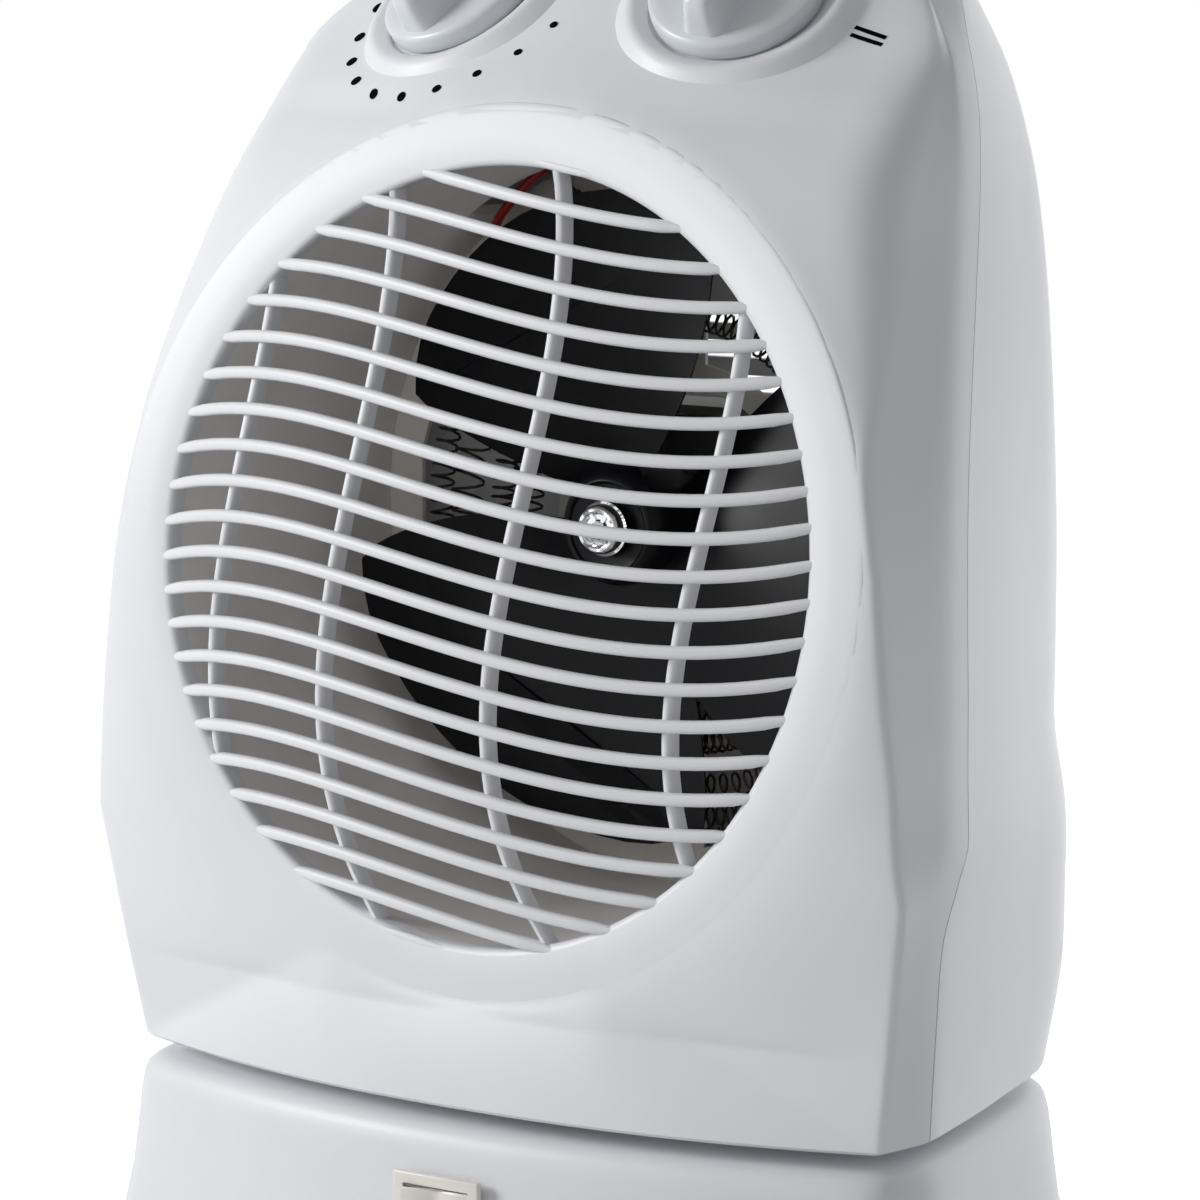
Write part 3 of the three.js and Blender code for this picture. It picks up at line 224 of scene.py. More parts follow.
# %% A maker of plastics and metals
def finish(name, colour, roughness, metallic=0.0, grain=1400.0, bump=0.03, mottle=0.03, wear=0.08, sheen=0.5):
    """A surface with fine grain, faint unevenness of colour, and gloss that varies."""
    material = bpy.data.materials.new(name)
    material.use_nodes = True
    tree = material.node_tree
    shader = tree.nodes["Principled BSDF"]
    place = tree.nodes.new("ShaderNodeTexCoord")
    fine, broad = (tree.nodes.new("ShaderNodeTexNoise") for _ in range(2))
    fine.inputs["Scale"].default_value = grain
    broad.inputs["Scale"].default_value = 35.0
    broad.inputs["Detail"].default_value = 6.0
    ramp = tree.nodes.new("ShaderNodeValToRGB")
    darker = [channel * (1 - mottle) for channel in colour]
    ramp.color_ramp.elements[0].color = (*darker, 1)
    ramp.color_ramp.elements[1].color = (*colour, 1)
    ramp.color_ramp.elements[0].position, ramp.color_ramp.elements[1].position = 0.3, 0.7
    gloss = tree.nodes.new("ShaderNodeMapRange")
    gloss.inputs["To Min"].default_value = roughness - wear / 2
    gloss.inputs["To Max"].default_value = roughness + wear / 2
    relief = tree.nodes.new("ShaderNodeBump")
    relief.inputs["Strength"].default_value = bump
    relief.inputs["Distance"].default_value = 0.0002
    for noise in (fine, broad):
        tree.links.new(place.outputs["Object"], noise.inputs["Vector"])
    tree.links.new(broad.outputs["Fac"], ramp.inputs["Fac"])
    tree.links.new(ramp.outputs["Color"], shader.inputs["Base Color"])
    tree.links.new(broad.outputs["Fac"], gloss.inputs["Value"])
    tree.links.new(gloss.outputs["Result"], shader.inputs["Roughness"])
    tree.links.new(fine.outputs["Fac"], relief.inputs["Height"])
    tree.links.new(relief.outputs["Normal"], shader.inputs["Normal"])
    shader.inputs["Metallic"].default_value = metallic
    shader.inputs["Specular IOR Level"].default_value = sheen
    return material


# %% The finishes of this heater
housing_white = finish("housing_white", (0.80, 0.81, 0.84), 0.42)
base_white = finish("base_white", (0.76, 0.77, 0.80), 0.42)
grille_white = finish("grille_white", (0.80, 0.81, 0.84), 0.42, bump=0.02)
knob_white = finish("knob_white", (0.70, 0.735, 0.77), 0.32, bump=0.015)
switch_cream = finish("switch_cream", (0.80, 0.76, 0.71), 0.3, bump=0.02)
# Painted light: the duct is pale plastic, coloured brighter and warmer than the housing's white to stand in for
# the light and warm bounce inside it.
duct_pale_painted_light = finish("duct_pale_painted_light", (0.94, 0.91, 0.88), 0.6, mottle=0.06)
neck_grey = finish("neck_grey", (0.55, 0.54, 0.52), 0.5)
fan_black = finish("fan_black", (0.006, 0.006, 0.008), 0.3, bump=0.05, grain=500, sheen=0.2)
switch_black = finish("switch_black", (0.02, 0.02, 0.022), 0.4)
rubber_black = finish("rubber_black", (0.03, 0.03, 0.03), 0.85, bump=0.1)
steel = finish("steel", (0.55, 0.56, 0.57), 0.34, metallic=1.0, grain=2500)
lamination = finish("lamination", (0.30, 0.29, 0.28), 0.5, metallic=1.0, grain=2500)
chrome = finish("chrome", (0.85, 0.86, 0.87), 0.08, metallic=1.0, bump=0.0, wear=0.04)
brass = finish("brass", (0.55, 0.42, 0.17), 0.3, metallic=1.0)
winding_tape = finish("winding_tape", (0.62, 0.58, 0.51), 0.6, mottle=0.08)
hot_wire = finish("hot_wire", (0.035, 0.028, 0.024), 0.45, metallic=0.6, grain=3000)
# Painted light: the mica plate's beige is raised near to white to stand in for the light inside the head.
mica_painted_light = finish("mica_painted_light", (0.92, 0.89, 0.83), 0.55, mottle=0.1, grain=700)
wire_finishes = {
    "wire_red": finish("wire_red", (0.42, 0.015, 0.01), 0.4),
    "wire_black": finish("wire_black", (0.012, 0.012, 0.012), 0.4),
    "wire_white": finish("wire_white", (0.70, 0.74, 0.82), 0.4),
}
mark_black = finish("mark_black", (0.002, 0.002, 0.002), 0.9, sheen=0.02)

# %% [markdown]
# ## Shape of the head
# The housing is wide at the hips and narrow at the top, and its front leans back. Its outline is known
# at seventeen heights; between them a smooth curve is drawn through each column, with a crease at the
# hip. At every height the half outline runs from the middle of the front to the front corner, on to the
# seam between the two shells, round the rear corner and to the middle of the back.

# %% Sections of the head
ROW_NAMES = ("front", "corner_x", "corner_y", "seam_x", "seam_y", "rear_x", "rear_y", "back")
HEAD_SHARES = (
    (0.0, 0.0, 0.912, 0.128, 0.947, 0.236, 0.781, 0.849, 0.97),
    (0.09, 0.047, 0.947, 0.107, 0.972, 0.216, 0.8, 0.883, 0.992),
    (0.17, 0.05, 0.976, 0.091, 0.99, 0.210, 0.814, 0.870, 0.998),
    (0.209, 0.051, 0.990, 0.083, 0.997, 0.238, 0.819, 0.862, 1.0),
    (0.243, 0.053, 0.979, 0.076, 1.0, 0.272, 0.817, 0.852, 1.0),
    (0.301, 0.06, 0.970, 0.077, 0.983, 0.291, 0.805, 0.834, 1.0),
    (0.359, 0.070, 0.953, 0.074, 0.972, 0.305, 0.797, 0.845, 1.0),
    (0.455, 0.088, 0.927, 0.082, 0.952, 0.327, 0.789, 0.857, 1.0),
    (0.540, 0.110, 0.887, 0.099, 0.935, 0.352, 0.778, 0.862, 0.996),
    (0.609, 0.133, 0.870, 0.146, 0.918, 0.384, 0.763, 0.868, 0.992),
    (0.686, 0.162, 0.838, 0.198, 0.884, 0.443, 0.744, 0.872, 0.985),
    (0.763, 0.195, 0.795, 0.260, 0.837, 0.519, 0.700, 0.893, 0.977),
    (0.824, 0.222, 0.772, 0.360, 0.814, 0.545, 0.657, 0.891, 0.966),
    (0.878, 0.341, 0.740, 0.477, 0.777, 0.563, 0.610, 0.872, 0.951),
    (0.936, 0.472, 0.630, 0.580, 0.670, 0.655, 0.520, 0.850, 0.925),
    (0.978, 0.577, 0.420, 0.650, 0.480, 0.730, 0.400, 0.838, 0.894),
    (1.0, 0.683, 0.230, 0.710, 0.300, 0.760, 0.230, 0.819, 0.842),
)
HIP = 0.209
CREASED_AT = {"corner_x": HIP, "corner_y": HIP, "seam_x": 0.243, "seam_y": 0.243}


def section_at(share):
    """The named measures of the outline at a share of the head's height, in millimetres."""
    rows = HEAD_SHARES
    place = next((i for i in range(len(rows) - 2) if share < rows[i + 1][0]), len(rows) - 2)
    low, high = rows[place], rows[place + 1]
    before, after = rows[max(place - 1, 0)], rows[min(place + 2, len(rows) - 1)]
    span = high[0] - low[0]
    t = (share - low[0]) / span
    values = {}
    for column, name in enumerate(ROW_NAMES, start=1):
        rise_low = (high[column] - before[column]) / (high[0] - before[0]) * span
        rise_high = (after[column] - low[column]) / (after[0] - low[0]) * span
        if CREASED_AT.get(name) == low[0]:
            rise_low = high[column] - low[column]
        if CREASED_AT.get(name) == high[0]:
            rise_high = high[column] - low[column]
        value = ((2 * t ** 3 - 3 * t ** 2 + 1) * low[column] + (t ** 3 - 2 * t ** 2 + t) * rise_low
                 + (3 * t ** 2 - 2 * t ** 3) * high[column] + (t ** 3 - t ** 2) * rise_high)
        values[name] = value * HEAD_HALF_WIDTH if name.endswith("_x") else HEAD_FRONT + value * HEAD_DEPTH
    return values


# %% [markdown]
# The front is not one plain curve. Inside the grille's band it is the leaning face itself. Beside the
# band it falls back to the corners, straight in the upper half and gently in the lower one. Above the
# band lies the panel of the knobs. Below it a chin swells forward to the head's lower edge, with a soft
# crease that follows the band and then runs down to the two lower corners.

# %% The front surface of the head
CHIN_BULGE, CHIN_POWER, CHIN_ROUND = 17.0, 2.2, 1.8
CHIN_RADIUS, CHIN_ARC = 95.0, 36.0
FACE_DEPTH, BAND_LAP = 0.7, 0.6
LEAST = 0.5
FALL_POWER, RUN_OUT_POWER = 1.0, 1.7
PANEL_POWER, PANEL_RISE = 1.7, 1.2


def front_depth(x, height, section):
    """Depth of the front surface beside the middle line, at a height above the grille's middle."""
    corner_x, corner_y = section["corner_x"], section["corner_y"]
    face = RING_Y + leaning(height) - FACE_DEPTH
    across = min(x / corner_x, 1.0)
    if height > BAND_RADIUS:
        panel = section["front"] - PANEL_RISE
        return panel + (corner_y - panel) * across ** PANEL_POWER
    edge = math.sqrt(max(BAND_RADIUS ** 2 - height ** 2, 0.0)) - BAND_LAP
    outside = max(x - edge, 0.0) / max(corner_x - edge, 0.1)
    if height > 0:
        return face + (corner_y - face) * outside ** FALL_POWER
    flat = face + (corner_y - face) * outside ** RUN_OUT_POWER
    chin_top = -math.sqrt(CHIN_RADIUS ** 2 - x ** 2) if x < CHIN_ARC else None
    lowest = HEAD_BOTTOM - RING_Z
    if chin_top is None:
        arc_end = -math.sqrt(CHIN_RADIUS ** 2 - CHIN_ARC ** 2)
        chin_top = arc_end + (lowest - arc_end) * min((x - CHIN_ARC) / (corner_x - CHIN_ARC), 1.0)
    if height >= chin_top or chin_top - lowest < LEAST:
        return flat
    chin_edge = HEAD_FRONT + CHIN_BULGE * across ** CHIN_POWER
    return flat + (chin_edge - flat) * (1 - ((height - lowest) / (chin_top - lowest)) ** CHIN_ROUND)


# %% One outline of the head
FRONT_STEPS, CORNER_STEPS, FACET_STEPS, RIM_STEPS, REAR_STEPS = 46, 6, 7, 3, 22
RIM_DEPTH, RIM_STAND = 9.2, 0.6
RIM_RISEN, RIM_FADES = 0.25, (0.86, 0.94)
CRISP, SOFT, SOFT_FROM, SOFT_TO = 1.6, 12.0, 0.56, 0.78
LONGEST_ROUND, BEND_OUT = 0.6, 0.2
TO_SILHOUETTE = Vector((0.83, -0.56))
REAR_SWELL, BACK_WIDTH, BACK_DROP = 0.35, 0.6, 0.22


def through(points, t):
    """A smooth curve through points, from 0 at the first to 1 at the last."""
    place = min(int(t * (len(points) - 1)), len(points) - 2)
    local = t * (len(points) - 1) - place
    p0, p1 = points[max(place - 1, 0)], points[place]
    p2, p3 = points[place + 1], points[min(place + 2, len(points) - 1)]
    return 0.5 * (2 * p1 + (p2 - p0) * local + (2 * p0 - 5 * p1 + 4 * p2 - p3) * local ** 2
                  + (3 * p1 - p0 - 3 * p2 + p3) * local ** 3)


def eased(value, low, high):
    """0 below low, 1 above high, and a soft step between."""
    t = min(max((value - low) / (high - low), 0.0), 1.0)
    return t * t * (3 - 2 * t)


def rear_curve(seam, rear, back, steps):
    """Points from the seam round the rear corner to the middle of the back."""
    middle = Vector((seam.x + (rear.x - seam.x) * REAR_SWELL, (seam.y + rear.y) / 2))
    shoulder = Vector((rear.x * BACK_WIDTH, back - (back - rear.y) * BACK_DROP))
    ends = [seam, middle, rear, shoulder, Vector((0, back))]
    return [through(ends, i / steps) for i in range(steps + 1)]


def whole_loop(half):
    """The half outline and its mirror image."""
    return half + [Vector((-point.x, point.y)) for point in reversed(half[1:-1])]


def smoothed(loop, share):
    """Every point moved towards its two neighbours."""
    return [share * loop[i - 1] + (1 - 2 * share) * loop[i] + share * loop[(i + 1) % len(loop)]
            for i in range(len(loop))]


def head_outline(share, shrink=0.0):
    section = section_at(share)
    height = share * HEAD_HEIGHT + HEAD_BOTTOM - RING_Z
    seam = Vector((section["seam_x"], section["seam_y"]))
    rear = Vector((section["rear_x"], section["rear_y"]))
    soft = eased(share, SOFT_FROM, SOFT_TO)
    corner = Vector((section["corner_x"], section["corner_y"]))
    stands = eased(share, HIP, RIM_RISEN) * (1 - eased(share, *RIM_FADES))
    facet = seam.y - corner.y
    on_line = corner.lerp(seam, 1 - RIM_DEPTH / facet if facet > RIM_DEPTH else 0.5)
    rim = on_line.lerp(Vector((seam.x + RIM_STAND, on_line.y)), stands)
    reach = CRISP + (SOFT - CRISP) * soft
    before = max(corner.x - reach, corner.x * 0.5)
    start = Vector((before, front_depth(before, height, section)))
    finish_point = corner.lerp(rim, min(reach / (rim - corner).length, LONGEST_ROUND))
    bend = corner + TO_SILHOUETTE * BEND_OUT * reach * soft
    half = [Vector((before * i / FRONT_STEPS, front_depth(before * i / FRONT_STEPS, height, section)))
            for i in range(FRONT_STEPS)]
    for i in range(CORNER_STEPS):
        t = i / CORNER_STEPS
        half.append((1 - t) ** 2 * start + 2 * t * (1 - t) * bend + t * t * finish_point)
    half += [finish_point.lerp(rim, i / FACET_STEPS) for i in range(FACET_STEPS)]
    half += [rim.lerp(seam, i / RIM_STEPS) for i in range(RIM_STEPS)]
    half += rear_curve(seam, rear, section["back"], REAR_STEPS)
    loop = smoothed(whole_loop(half), 0.2)
    centre = Vector((0, (section["front"] + section["back"]) / 2))
    return [(Vector((*(centre + (point - centre) * (1 - shrink)), HEAD_BOTTOM + share * HEAD_HEIGHT))) * MM
            for point in loop]


# %% Loft the head and give it a wall
WIDE_LEVELS, CHIN_LEVELS, CHIN_SHARE, HIP_STEP = 84, 48, 0.16, 0.003
BOTTOM_ROUND, BOTTOM_SHRINK = 0.003, 0.012
TOP_SHRINKS = ((0.988, 0.0), (0.995, 0.08), (0.999, 0.22), (1.0, 0.4))


def head_body(name):
    bm = bmesh.new()
    rings = [head_outline(0.0, BOTTOM_SHRINK), head_outline(BOTTOM_ROUND)]
    shares = [CHIN_SHARE * i / CHIN_LEVELS for i in range(1, CHIN_LEVELS)]
    shares += [i / WIDE_LEVELS for i in range(WIDE_LEVELS) if CHIN_SHARE < i / WIDE_LEVELS]
    shares = [share for share in shares if abs(share - HIP) > 2 * HIP_STEP]
    shares += [HIP - HIP_STEP, HIP, HIP + HIP_STEP]
    rings += [head_outline(share) for share in sorted(shares)]
    rings += [head_outline(share, shrink) for share, shrink in TOP_SHRINKS]
    loft(bm, rings)
    return object_from(bm, name)


def hollowed(piece):
    wall = piece.modifiers.new("wall", "SOLIDIFY")
    wall.thickness = WALL * MM
    wall.offset = -1
    applied(piece)
    return piece


# %% [markdown]
# The two shells meet at a seam that sweeps back towards the top. A cutter with that curve for its side
# divides the body: what lies in front of it is the front shell. A gap of a third of a millimetre is left.

# %% Divide the body at the seam
SEAM_GAP = 0.35
REACH = 6.0
SEAM_STEPS = 120


def seam_cutter(shift):
    heights = [i / SEAM_STEPS for i in range(SEAM_STEPS + 1)]
    line = [(section_at(share)["seam_y"] + shift, HEAD_BOTTOM + share * HEAD_HEIGHT) for share in heights]
    line = [(line[0][0], line[0][1] - REACH)] + line + [(line[-1][0], line[-1][1] + REACH)]
    line += [(HEAD_FRONT - 4 * REACH, line[-1][1]), (HEAD_FRONT - 4 * REACH, line[0][1])]
    bm = bmesh.new()
    side = HEAD_HALF_WIDTH + REACH
    face = bm.faces.new([bm.verts.new(Vector((-side, y, z)) * MM) for y, z in line])
    across = bmesh.ops.extrude_face_region(bm, geom=[face])["geom"]
    far = [item for item in across if isinstance(item, bmesh.types.BMVert)]
    bmesh.ops.translate(bm, vec=(2 * side * MM, 0, 0), verts=far)
    bmesh.ops.triangulate(bm, faces=[face for face in bm.faces if len(face.verts) > 4])
    return object_from(bm, "seam_cutter")


front_housing = hollowed(head_body("front_housing"))
shaped_by(front_housing, seam_cutter(0), "INTERSECT")
rear_housing = hollowed(head_body("rear_housing"))
shaped_by(rear_housing, seam_cutter(SEAM_GAP), "DIFFERENCE")
print("head split at the seam:", len(front_housing.data.polygons), len(rear_housing.data.polygons))

# %% [markdown]
# ## Openings in the front shell
# The round opening is bored straight back and follows the lean of the face, and each knob sits in a
# raised collar on the slope above it. The collars are turned on a lathe and joined to the shell.


# %% Bore the front shell
def leaned(bm):
    for vert in bm.verts:
        vert.co.y += leaning(vert.co.z / MM) * MM


def lathe_cutter(profile, steps, matrix, axis=(0, 0, 1), lean=False):
    bm = bmesh.new()
    turned(bm, profile, steps, axis)
    if lean:
        leaned(bm)
    moved(bm, matrix)
    return object_from(bm, "lathe_cutter")


ring_place = Matrix.Translation(at_ring(0, 0, 0))
opening = OPENING_RADIUS + 1.5
BORE_FRONT, BORE_BACK = -40, 30
bore = ((0, BORE_FRONT), (opening, BORE_FRONT), (opening, BORE_BACK), (0, BORE_BACK))
shaped_by(front_housing, lathe_cutter(bore, 128, ring_place, (0, 1, 0), lean=True), "DIFFERENCE")

# %% Knob places
KNOB_SIDE, KNOB_DEPTH, KNOB_HEIGHT = 35.6, 49.0, 118.3
KNOB_SLOPE, KNOB_TURN = math.radians(49.3), math.radians(13.0)


def knob_place(side):
    turn = side * KNOB_TURN
    level = math.cos(KNOB_SLOPE)
    out = Vector((math.sin(turn) * level, -math.cos(turn) * level, math.sin(KNOB_SLOPE)))
    across = Vector((math.cos(turn), math.sin(turn), 0))
    axes = Matrix((across, out.cross(across), out)).transposed().to_4x4()
    return Matrix.Translation(at_ring(side * KNOB_SIDE, KNOB_DEPTH, KNOB_HEIGHT)) @ axes


SOCKET, SOCKET_FLOOR, STEM_HOLE = 20.1, 0.2, 4.5
COLLAR = ((SOCKET, -6), (28.4, -6), (28.0, -0.8), (27.4, -0.1), (25.4, 2.0), (24.7, 2.5), (23.7, 2.8),
          (22.8, 2.6), (20.7, 1.5), (20.3, 1.2), (SOCKET, 0.7))
for side in (-1, 1):
    bm = bmesh.new()
    turned(bm, COLLAR, 96, closed=True)
    moved(bm, knob_place(side))
    shaped_by(front_housing, object_from(bm, "collar"), "UNION")
    socket = ((0, SOCKET_FLOOR), (SOCKET, SOCKET_FLOOR), (SOCKET, 12), (0, 12))
    shaped_by(front_housing, lathe_cutter(socket, 96, knob_place(side)), "DIFFERENCE")
    stem = ((0, -12), (STEM_HOLE, -12), (STEM_HOLE, 3), (0, 3))
    shaped_by(front_housing, lathe_cutter(stem, 32, knob_place(side)), "DIFFERENCE")
finish_piece(front_housing, housing_white, "head", ["front_shell"], sharp=42)
print("front housing:", len(front_housing.data.polygons), "faces")

# %% [markdown]
# ## Rear shell
# The back takes the air in through a field of slots, has a recess under the top edge to lift the
# heater by, and four deep screw holes. The neck goes in through a hole in the floor.

# %% Cut the rear shell
SLOT_COUNT, SLOT_PITCH, SLOT_HEIGHT, SLOT_HALF, SLOT_LOW, SLOT_DEEP = 12, 8.0, 4.0, 46.0, -44.0, 24
RECESS_HALF, RECESS_LOW, RECESS_HIGH, RECESS_FRONT = 36.0, 80.0, 110.0, 98.0
SCREW_SPOTS = [(side * x, z) for side in (-1, 1) for x, z in ((84.0, -92.0), (60.0, 86.0))]
HEAD_BACK = HEAD_FRONT + HEAD_DEPTH


def rounded_block(name, size, centre, radius, segments=4):
    """A box with all its edges rounded."""
    bm = bmesh.new()
    block(bm, size, centre)
    bmesh.ops.bevel(bm, geom=bm.edges[:], offset=radius * MM, affect="EDGES", segments=segments,
                    profile=0.5, material=-1)
    return object_from(bm, name)


def kept_inside(piece, name):
    """Trims a piece to the head's outer surface."""
    shaped_by(piece, head_body(name), "INTERSECT")
    return piece


recess_depth = HEAD_BACK + REACH - RING_Y - RECESS_FRONT
recess_centre = (0, RING_Y + RECESS_FRONT + recess_depth / 2, RING_Z + (RECESS_LOW + RECESS_HIGH) / 2)
recess_size = (2 * RECESS_HALF, recess_depth, RECESS_HIGH - RECESS_LOW)
RECESS_WALL = 2.0
cup = rounded_block("cup", [side + 2 * RECESS_WALL for side in recess_size], recess_centre, 4)
shaped_by(rear_housing, kept_inside(cup, "trim"), "UNION")
shaped_by(rear_housing, rounded_block("recess", recess_size, recess_centre, 3), "DIFFERENCE")
for i in range(SLOT_COUNT):
    centre = (0, HEAD_BACK, RING_Z + SLOT_LOW + i * SLOT_PITCH)
    slot = rounded_block("slot", (2 * SLOT_HALF, SLOT_DEEP, SLOT_HEIGHT), centre, 1.6, 3)
    shaped_by(rear_housing, slot, "DIFFERENCE")
BOSS_RADIUS, BOSS_START, BOSS_END, BOSS_WEB = 6.4, 60.3, 125, 6.0
SCREW_HOLE, SCREW_HEAD, NECK_HOLE = 2.0, 4.2, 17.3
for x, z in SCREW_SPOTS:
    place = Matrix.Translation(at_ring(x, 0, z))
    post = ((0, BOSS_START), (BOSS_RADIUS, BOSS_START), (BOSS_RADIUS, BOSS_END), (0, BOSS_END))
    boss = lathe_cutter(post, 40, place, (0, 1, 0))
    shaped_by(rear_housing, kept_inside(boss, "trim"), "UNION")
    web = BOSS_START + BOSS_WEB
    bore = ((0, 20), (SCREW_HOLE, 20), (SCREW_HOLE, web), (SCREW_HEAD, web), (SCREW_HEAD, 140), (0, 140))
    shaped_by(rear_housing, lathe_cutter(bore, 40, place, (0, 1, 0)), "DIFFERENCE")
under, over = HEAD_BOTTOM - REACH, HEAD_BOTTOM + REACH
neck_hole = ((0, under), (NECK_HOLE, under), (NECK_HOLE, over), (0, over))
shaped_by(rear_housing, lathe_cutter(neck_hole, 64, Matrix.Identity(4)), "DIFFERENCE")
finish_piece(rear_housing, housing_white, "head", ["rear_shell"], sharp=42)
print("rear housing:", len(rear_housing.data.polygons), "faces")

# %% [markdown]
# ## Grille
# The band round the opening is one with the bars. The bars are swirled: each one rises to the left
# and drops to the right in a long S, they bow forward like a dome, and their ends run out on the band
# as thin tapering ridges. Four S-curved ribs hold them from behind.

# %% The band
grille = bmesh.new()
BAND = ((OPENING_RADIUS, 4.0), (OPENING_RADIUS, 0.8), (83.7, 0.0), (84.2, -0.5), (85.0, -0.8), (91.0, -0.8),
        (94.0, -0.75), (96.0, -0.66), (96.6, -0.55), (96.9, -0.3), (BAND_RADIUS, 0.1), (BAND_RADIUS, 1.6),
        (86.3, 1.6), (86.3, 4.0))
turned(grille, BAND, 160, (0, 1, 0), closed=True)
leaned(grille)
band = object_from(grille, "front_band")
band.data.transform(ring_place)
finish_piece(band, grille_white, "head", ["front_grille"], sharp=50)

# %% Curves of the bars and ribs
BAR_COUNT, BAR_PITCH, BULGE = 21, 7.78, 15.5
BAR_HALF_HEIGHT, BAR_HALF_DEPTH = 1.38, 1.5
SWIRL, SWIRL_BACK, SPAN = -13.65, 10.12, 80.0
RIB_SIDES, RIB_HALF_WIDTH, RIB_DEPTH, SWAY, SWAY_BACK = (-64.5, -28.5, 16.5, 58.5), 1.1, 4.2, 12.6, -17.1
RIDGE_END, RIDGE_START, RIDGE_TIP = 87.6, OPENING_RADIUS - 1.0, 0.06
BAR_FORWARD, RIDGE_SINK, RIDGE_FLATTEN = 0.2, 1.0, 0.75


def bar_height(start, x):
    share = x / SPAN
    return start + SWIRL * share + SWIRL_BACK * share ** 3


def rib_side(start, height):
    share = height / SPAN
    return start + SWAY * share + SWAY_BACK * share ** 3


def dome(x, height):
    inside = max(0.0, 1 - (x * x + height * height) / OPENING_RADIUS ** 2)
    return leaning(height) - BULGE * inside


def far_end(radius_at, limit, side):
    near, far = 0.0, limit * 1.2
    for _ in range(30):
        half = (near + far) / 2
        near, far = (half, far) if radius_at(side * half) < limit else (near, half)
    return side * near


# %% Sweep the bars
SIDES = 16
STATIONS = 44


def rounded_section(half_height, half_depth):
    """Points round a bar that is full in front and flatter behind."""
    angles = [math.tau * i / SIDES for i in range(SIDES)]
    full = [(abs(math.cos(angle)) ** 3 + abs(math.sin(angle)) ** 3) ** (-1 / 3) for angle in angles]
    return [(half_height * math.cos(angle) * out, half_depth * math.sin(angle) * out)
            for angle, out in zip(angles, full)]


def bar_rings(start):
    def radius_at(x):
        return math.hypot(x, bar_height(start, x))
    left, right = far_end(radius_at, RIDGE_END, -1), far_end(radius_at, RIDGE_END, 1)
    rings = []
    for i in range(STATIONS + 1):
        x = left + (right - left) * i / STATIONS
        height = bar_height(start, x)
        past = min(max((radius_at(x) - RIDGE_START) / (RIDGE_END - RIDGE_START), 0.0), 1.0)
        thin = max(1 - past ** 1.3, RIDGE_TIP)
        depth = dome(x, height) - BAR_FORWARD + RIDGE_SINK * past
        rings.append([at_ring(x, depth + along * (1 - RIDGE_FLATTEN * past), height + rise * thin)
                      for rise, along in rounded_section(BAR_HALF_HEIGHT, BAR_HALF_DEPTH)])
    return rings


bm = bmesh.new()
half_count = (BAR_COUNT - 1) / 2
for k in range(-1, BAR_COUNT + 1):
    loft(bm, bar_rings((half_count - k) * BAR_PITCH))
bars = finish_piece(object_from(bm, "grille_bars"), grille_white, "head", sharp=60)
print("grille bars:", len(bars.data.polygons), "faces")

# %% Sweep the ribs
RIB_SHAPE = ((-1.0, 1.0), (-1.0, 0.35), (-0.85, 0.14), (-0.45, 0.02),
             (0.45, 0.02), (0.85, 0.14), (1.0, 0.35), (1.0, 1.0))
RIB_REACH, RIB_BEHIND = OPENING_RADIUS + 0.8, 0.4


def rib_rings(start):
    def radius_at(height):
        return math.hypot(height, rib_side(start, height))
    low, high = far_end(radius_at, RIB_REACH, -1), far_end(radius_at, RIB_REACH, 1)
    rings = []
    for i in range(STATIONS + 1):
        height = low + (high - low) * i / STATIONS
        x = rib_side(start, height)
        depth = dome(x, height) + RIB_BEHIND
        rings.append([at_ring(x + RIB_HALF_WIDTH * across, depth + RIB_DEPTH * along, height)
                      for across, along in RIB_SHAPE])
    return rings


bm = bmesh.new()
for start in RIB_SIDES:
    loft(bm, rib_rings(start))
finish_piece(object_from(bm, "grille_ribs"), grille_white, "head", sharp=50)

# %% [markdown]
# ## Inside the grille
# A round duct leads the air out. The fan turns in front of the heating coils, which hang on a mica
# plate, and behind them sits the motor. From outside one sees the duct's pale wall, the black blades,
# the bright clip on the shaft and some of the coils. The duct's warm pale tone and the mica plate's
# bright beige are partly painted light: both are coloured brighter than they are, the duct also warmer,
# to stand in for the light inside, which the lamps barely reach.

# %% Air duct
DUCT_BACK, DUCT_LEANS_TO = 83.7, 14
DUCT = ((84.0, 4.3), (86.0, 4.3), (86.4, 4.9), (86.4, DUCT_BACK), (84.6, DUCT_BACK), (84.6, 30), (84.0, 12))
NOTCH_SIZE, NOTCH_CENTRE = (74, 32, 27), (-13, DUCT_BACK, 78.5)
bm = bmesh.new()
turned(bm, DUCT, 128, (0, 1, 0), closed=True)
for vert in bm.verts:
    if vert.co.y < DUCT_LEANS_TO * MM:
        vert.co.y += leaning(vert.co.z / MM) * MM
duct = object_from(bm, "air_tube")
bm = bmesh.new()
block(bm, NOTCH_SIZE, NOTCH_CENTRE)
shaped_by(duct, object_from(bm, "notch"), "DIFFERENCE")
duct.data.transform(ring_place)
# The duct's finish carries painted light.
finish_piece(duct, duct_pale_painted_light, "head", ["air_duct"])

# %% Fan
fan_place = Matrix.Translation(Vector((0, RING_Y, FAN_Z)) * MM)
SHAFT_HOLE = 2.3
HUB = ((SHAFT_HOLE, 51.2), (9.4, 51.4), (9.9, 51.2), (10.2, 50.4), (10.7, 50.0), (11.3, 50.2), (11.8, 51.0),
       (12.9, 52.6), (13.5, 55.0), (13.5, 71.4), (12.9, 72.0), (SHAFT_HOLE, 72.0))
BLADE_ROOT, BLADE_TIP, BLADE_FRONT, BLADE_TWIST, BLADE_THICK = 12.0, 75.0, 54.0, 17.0, 1.8
BLADE_CUP, BLADE_EDGE, EDGE_STEPS, TIP_ROUND, TIP_FROM = 2.2, 0.35, 3, 3.2, 0.86
LEAD, LEAD_TAPER, TRAIL, TRAIL_TAPER = (math.radians(angle) for angle in (50, 6, 60, 14))
BLADE_TURNS = [math.radians(angle) for angle in (116, 236, 356)]


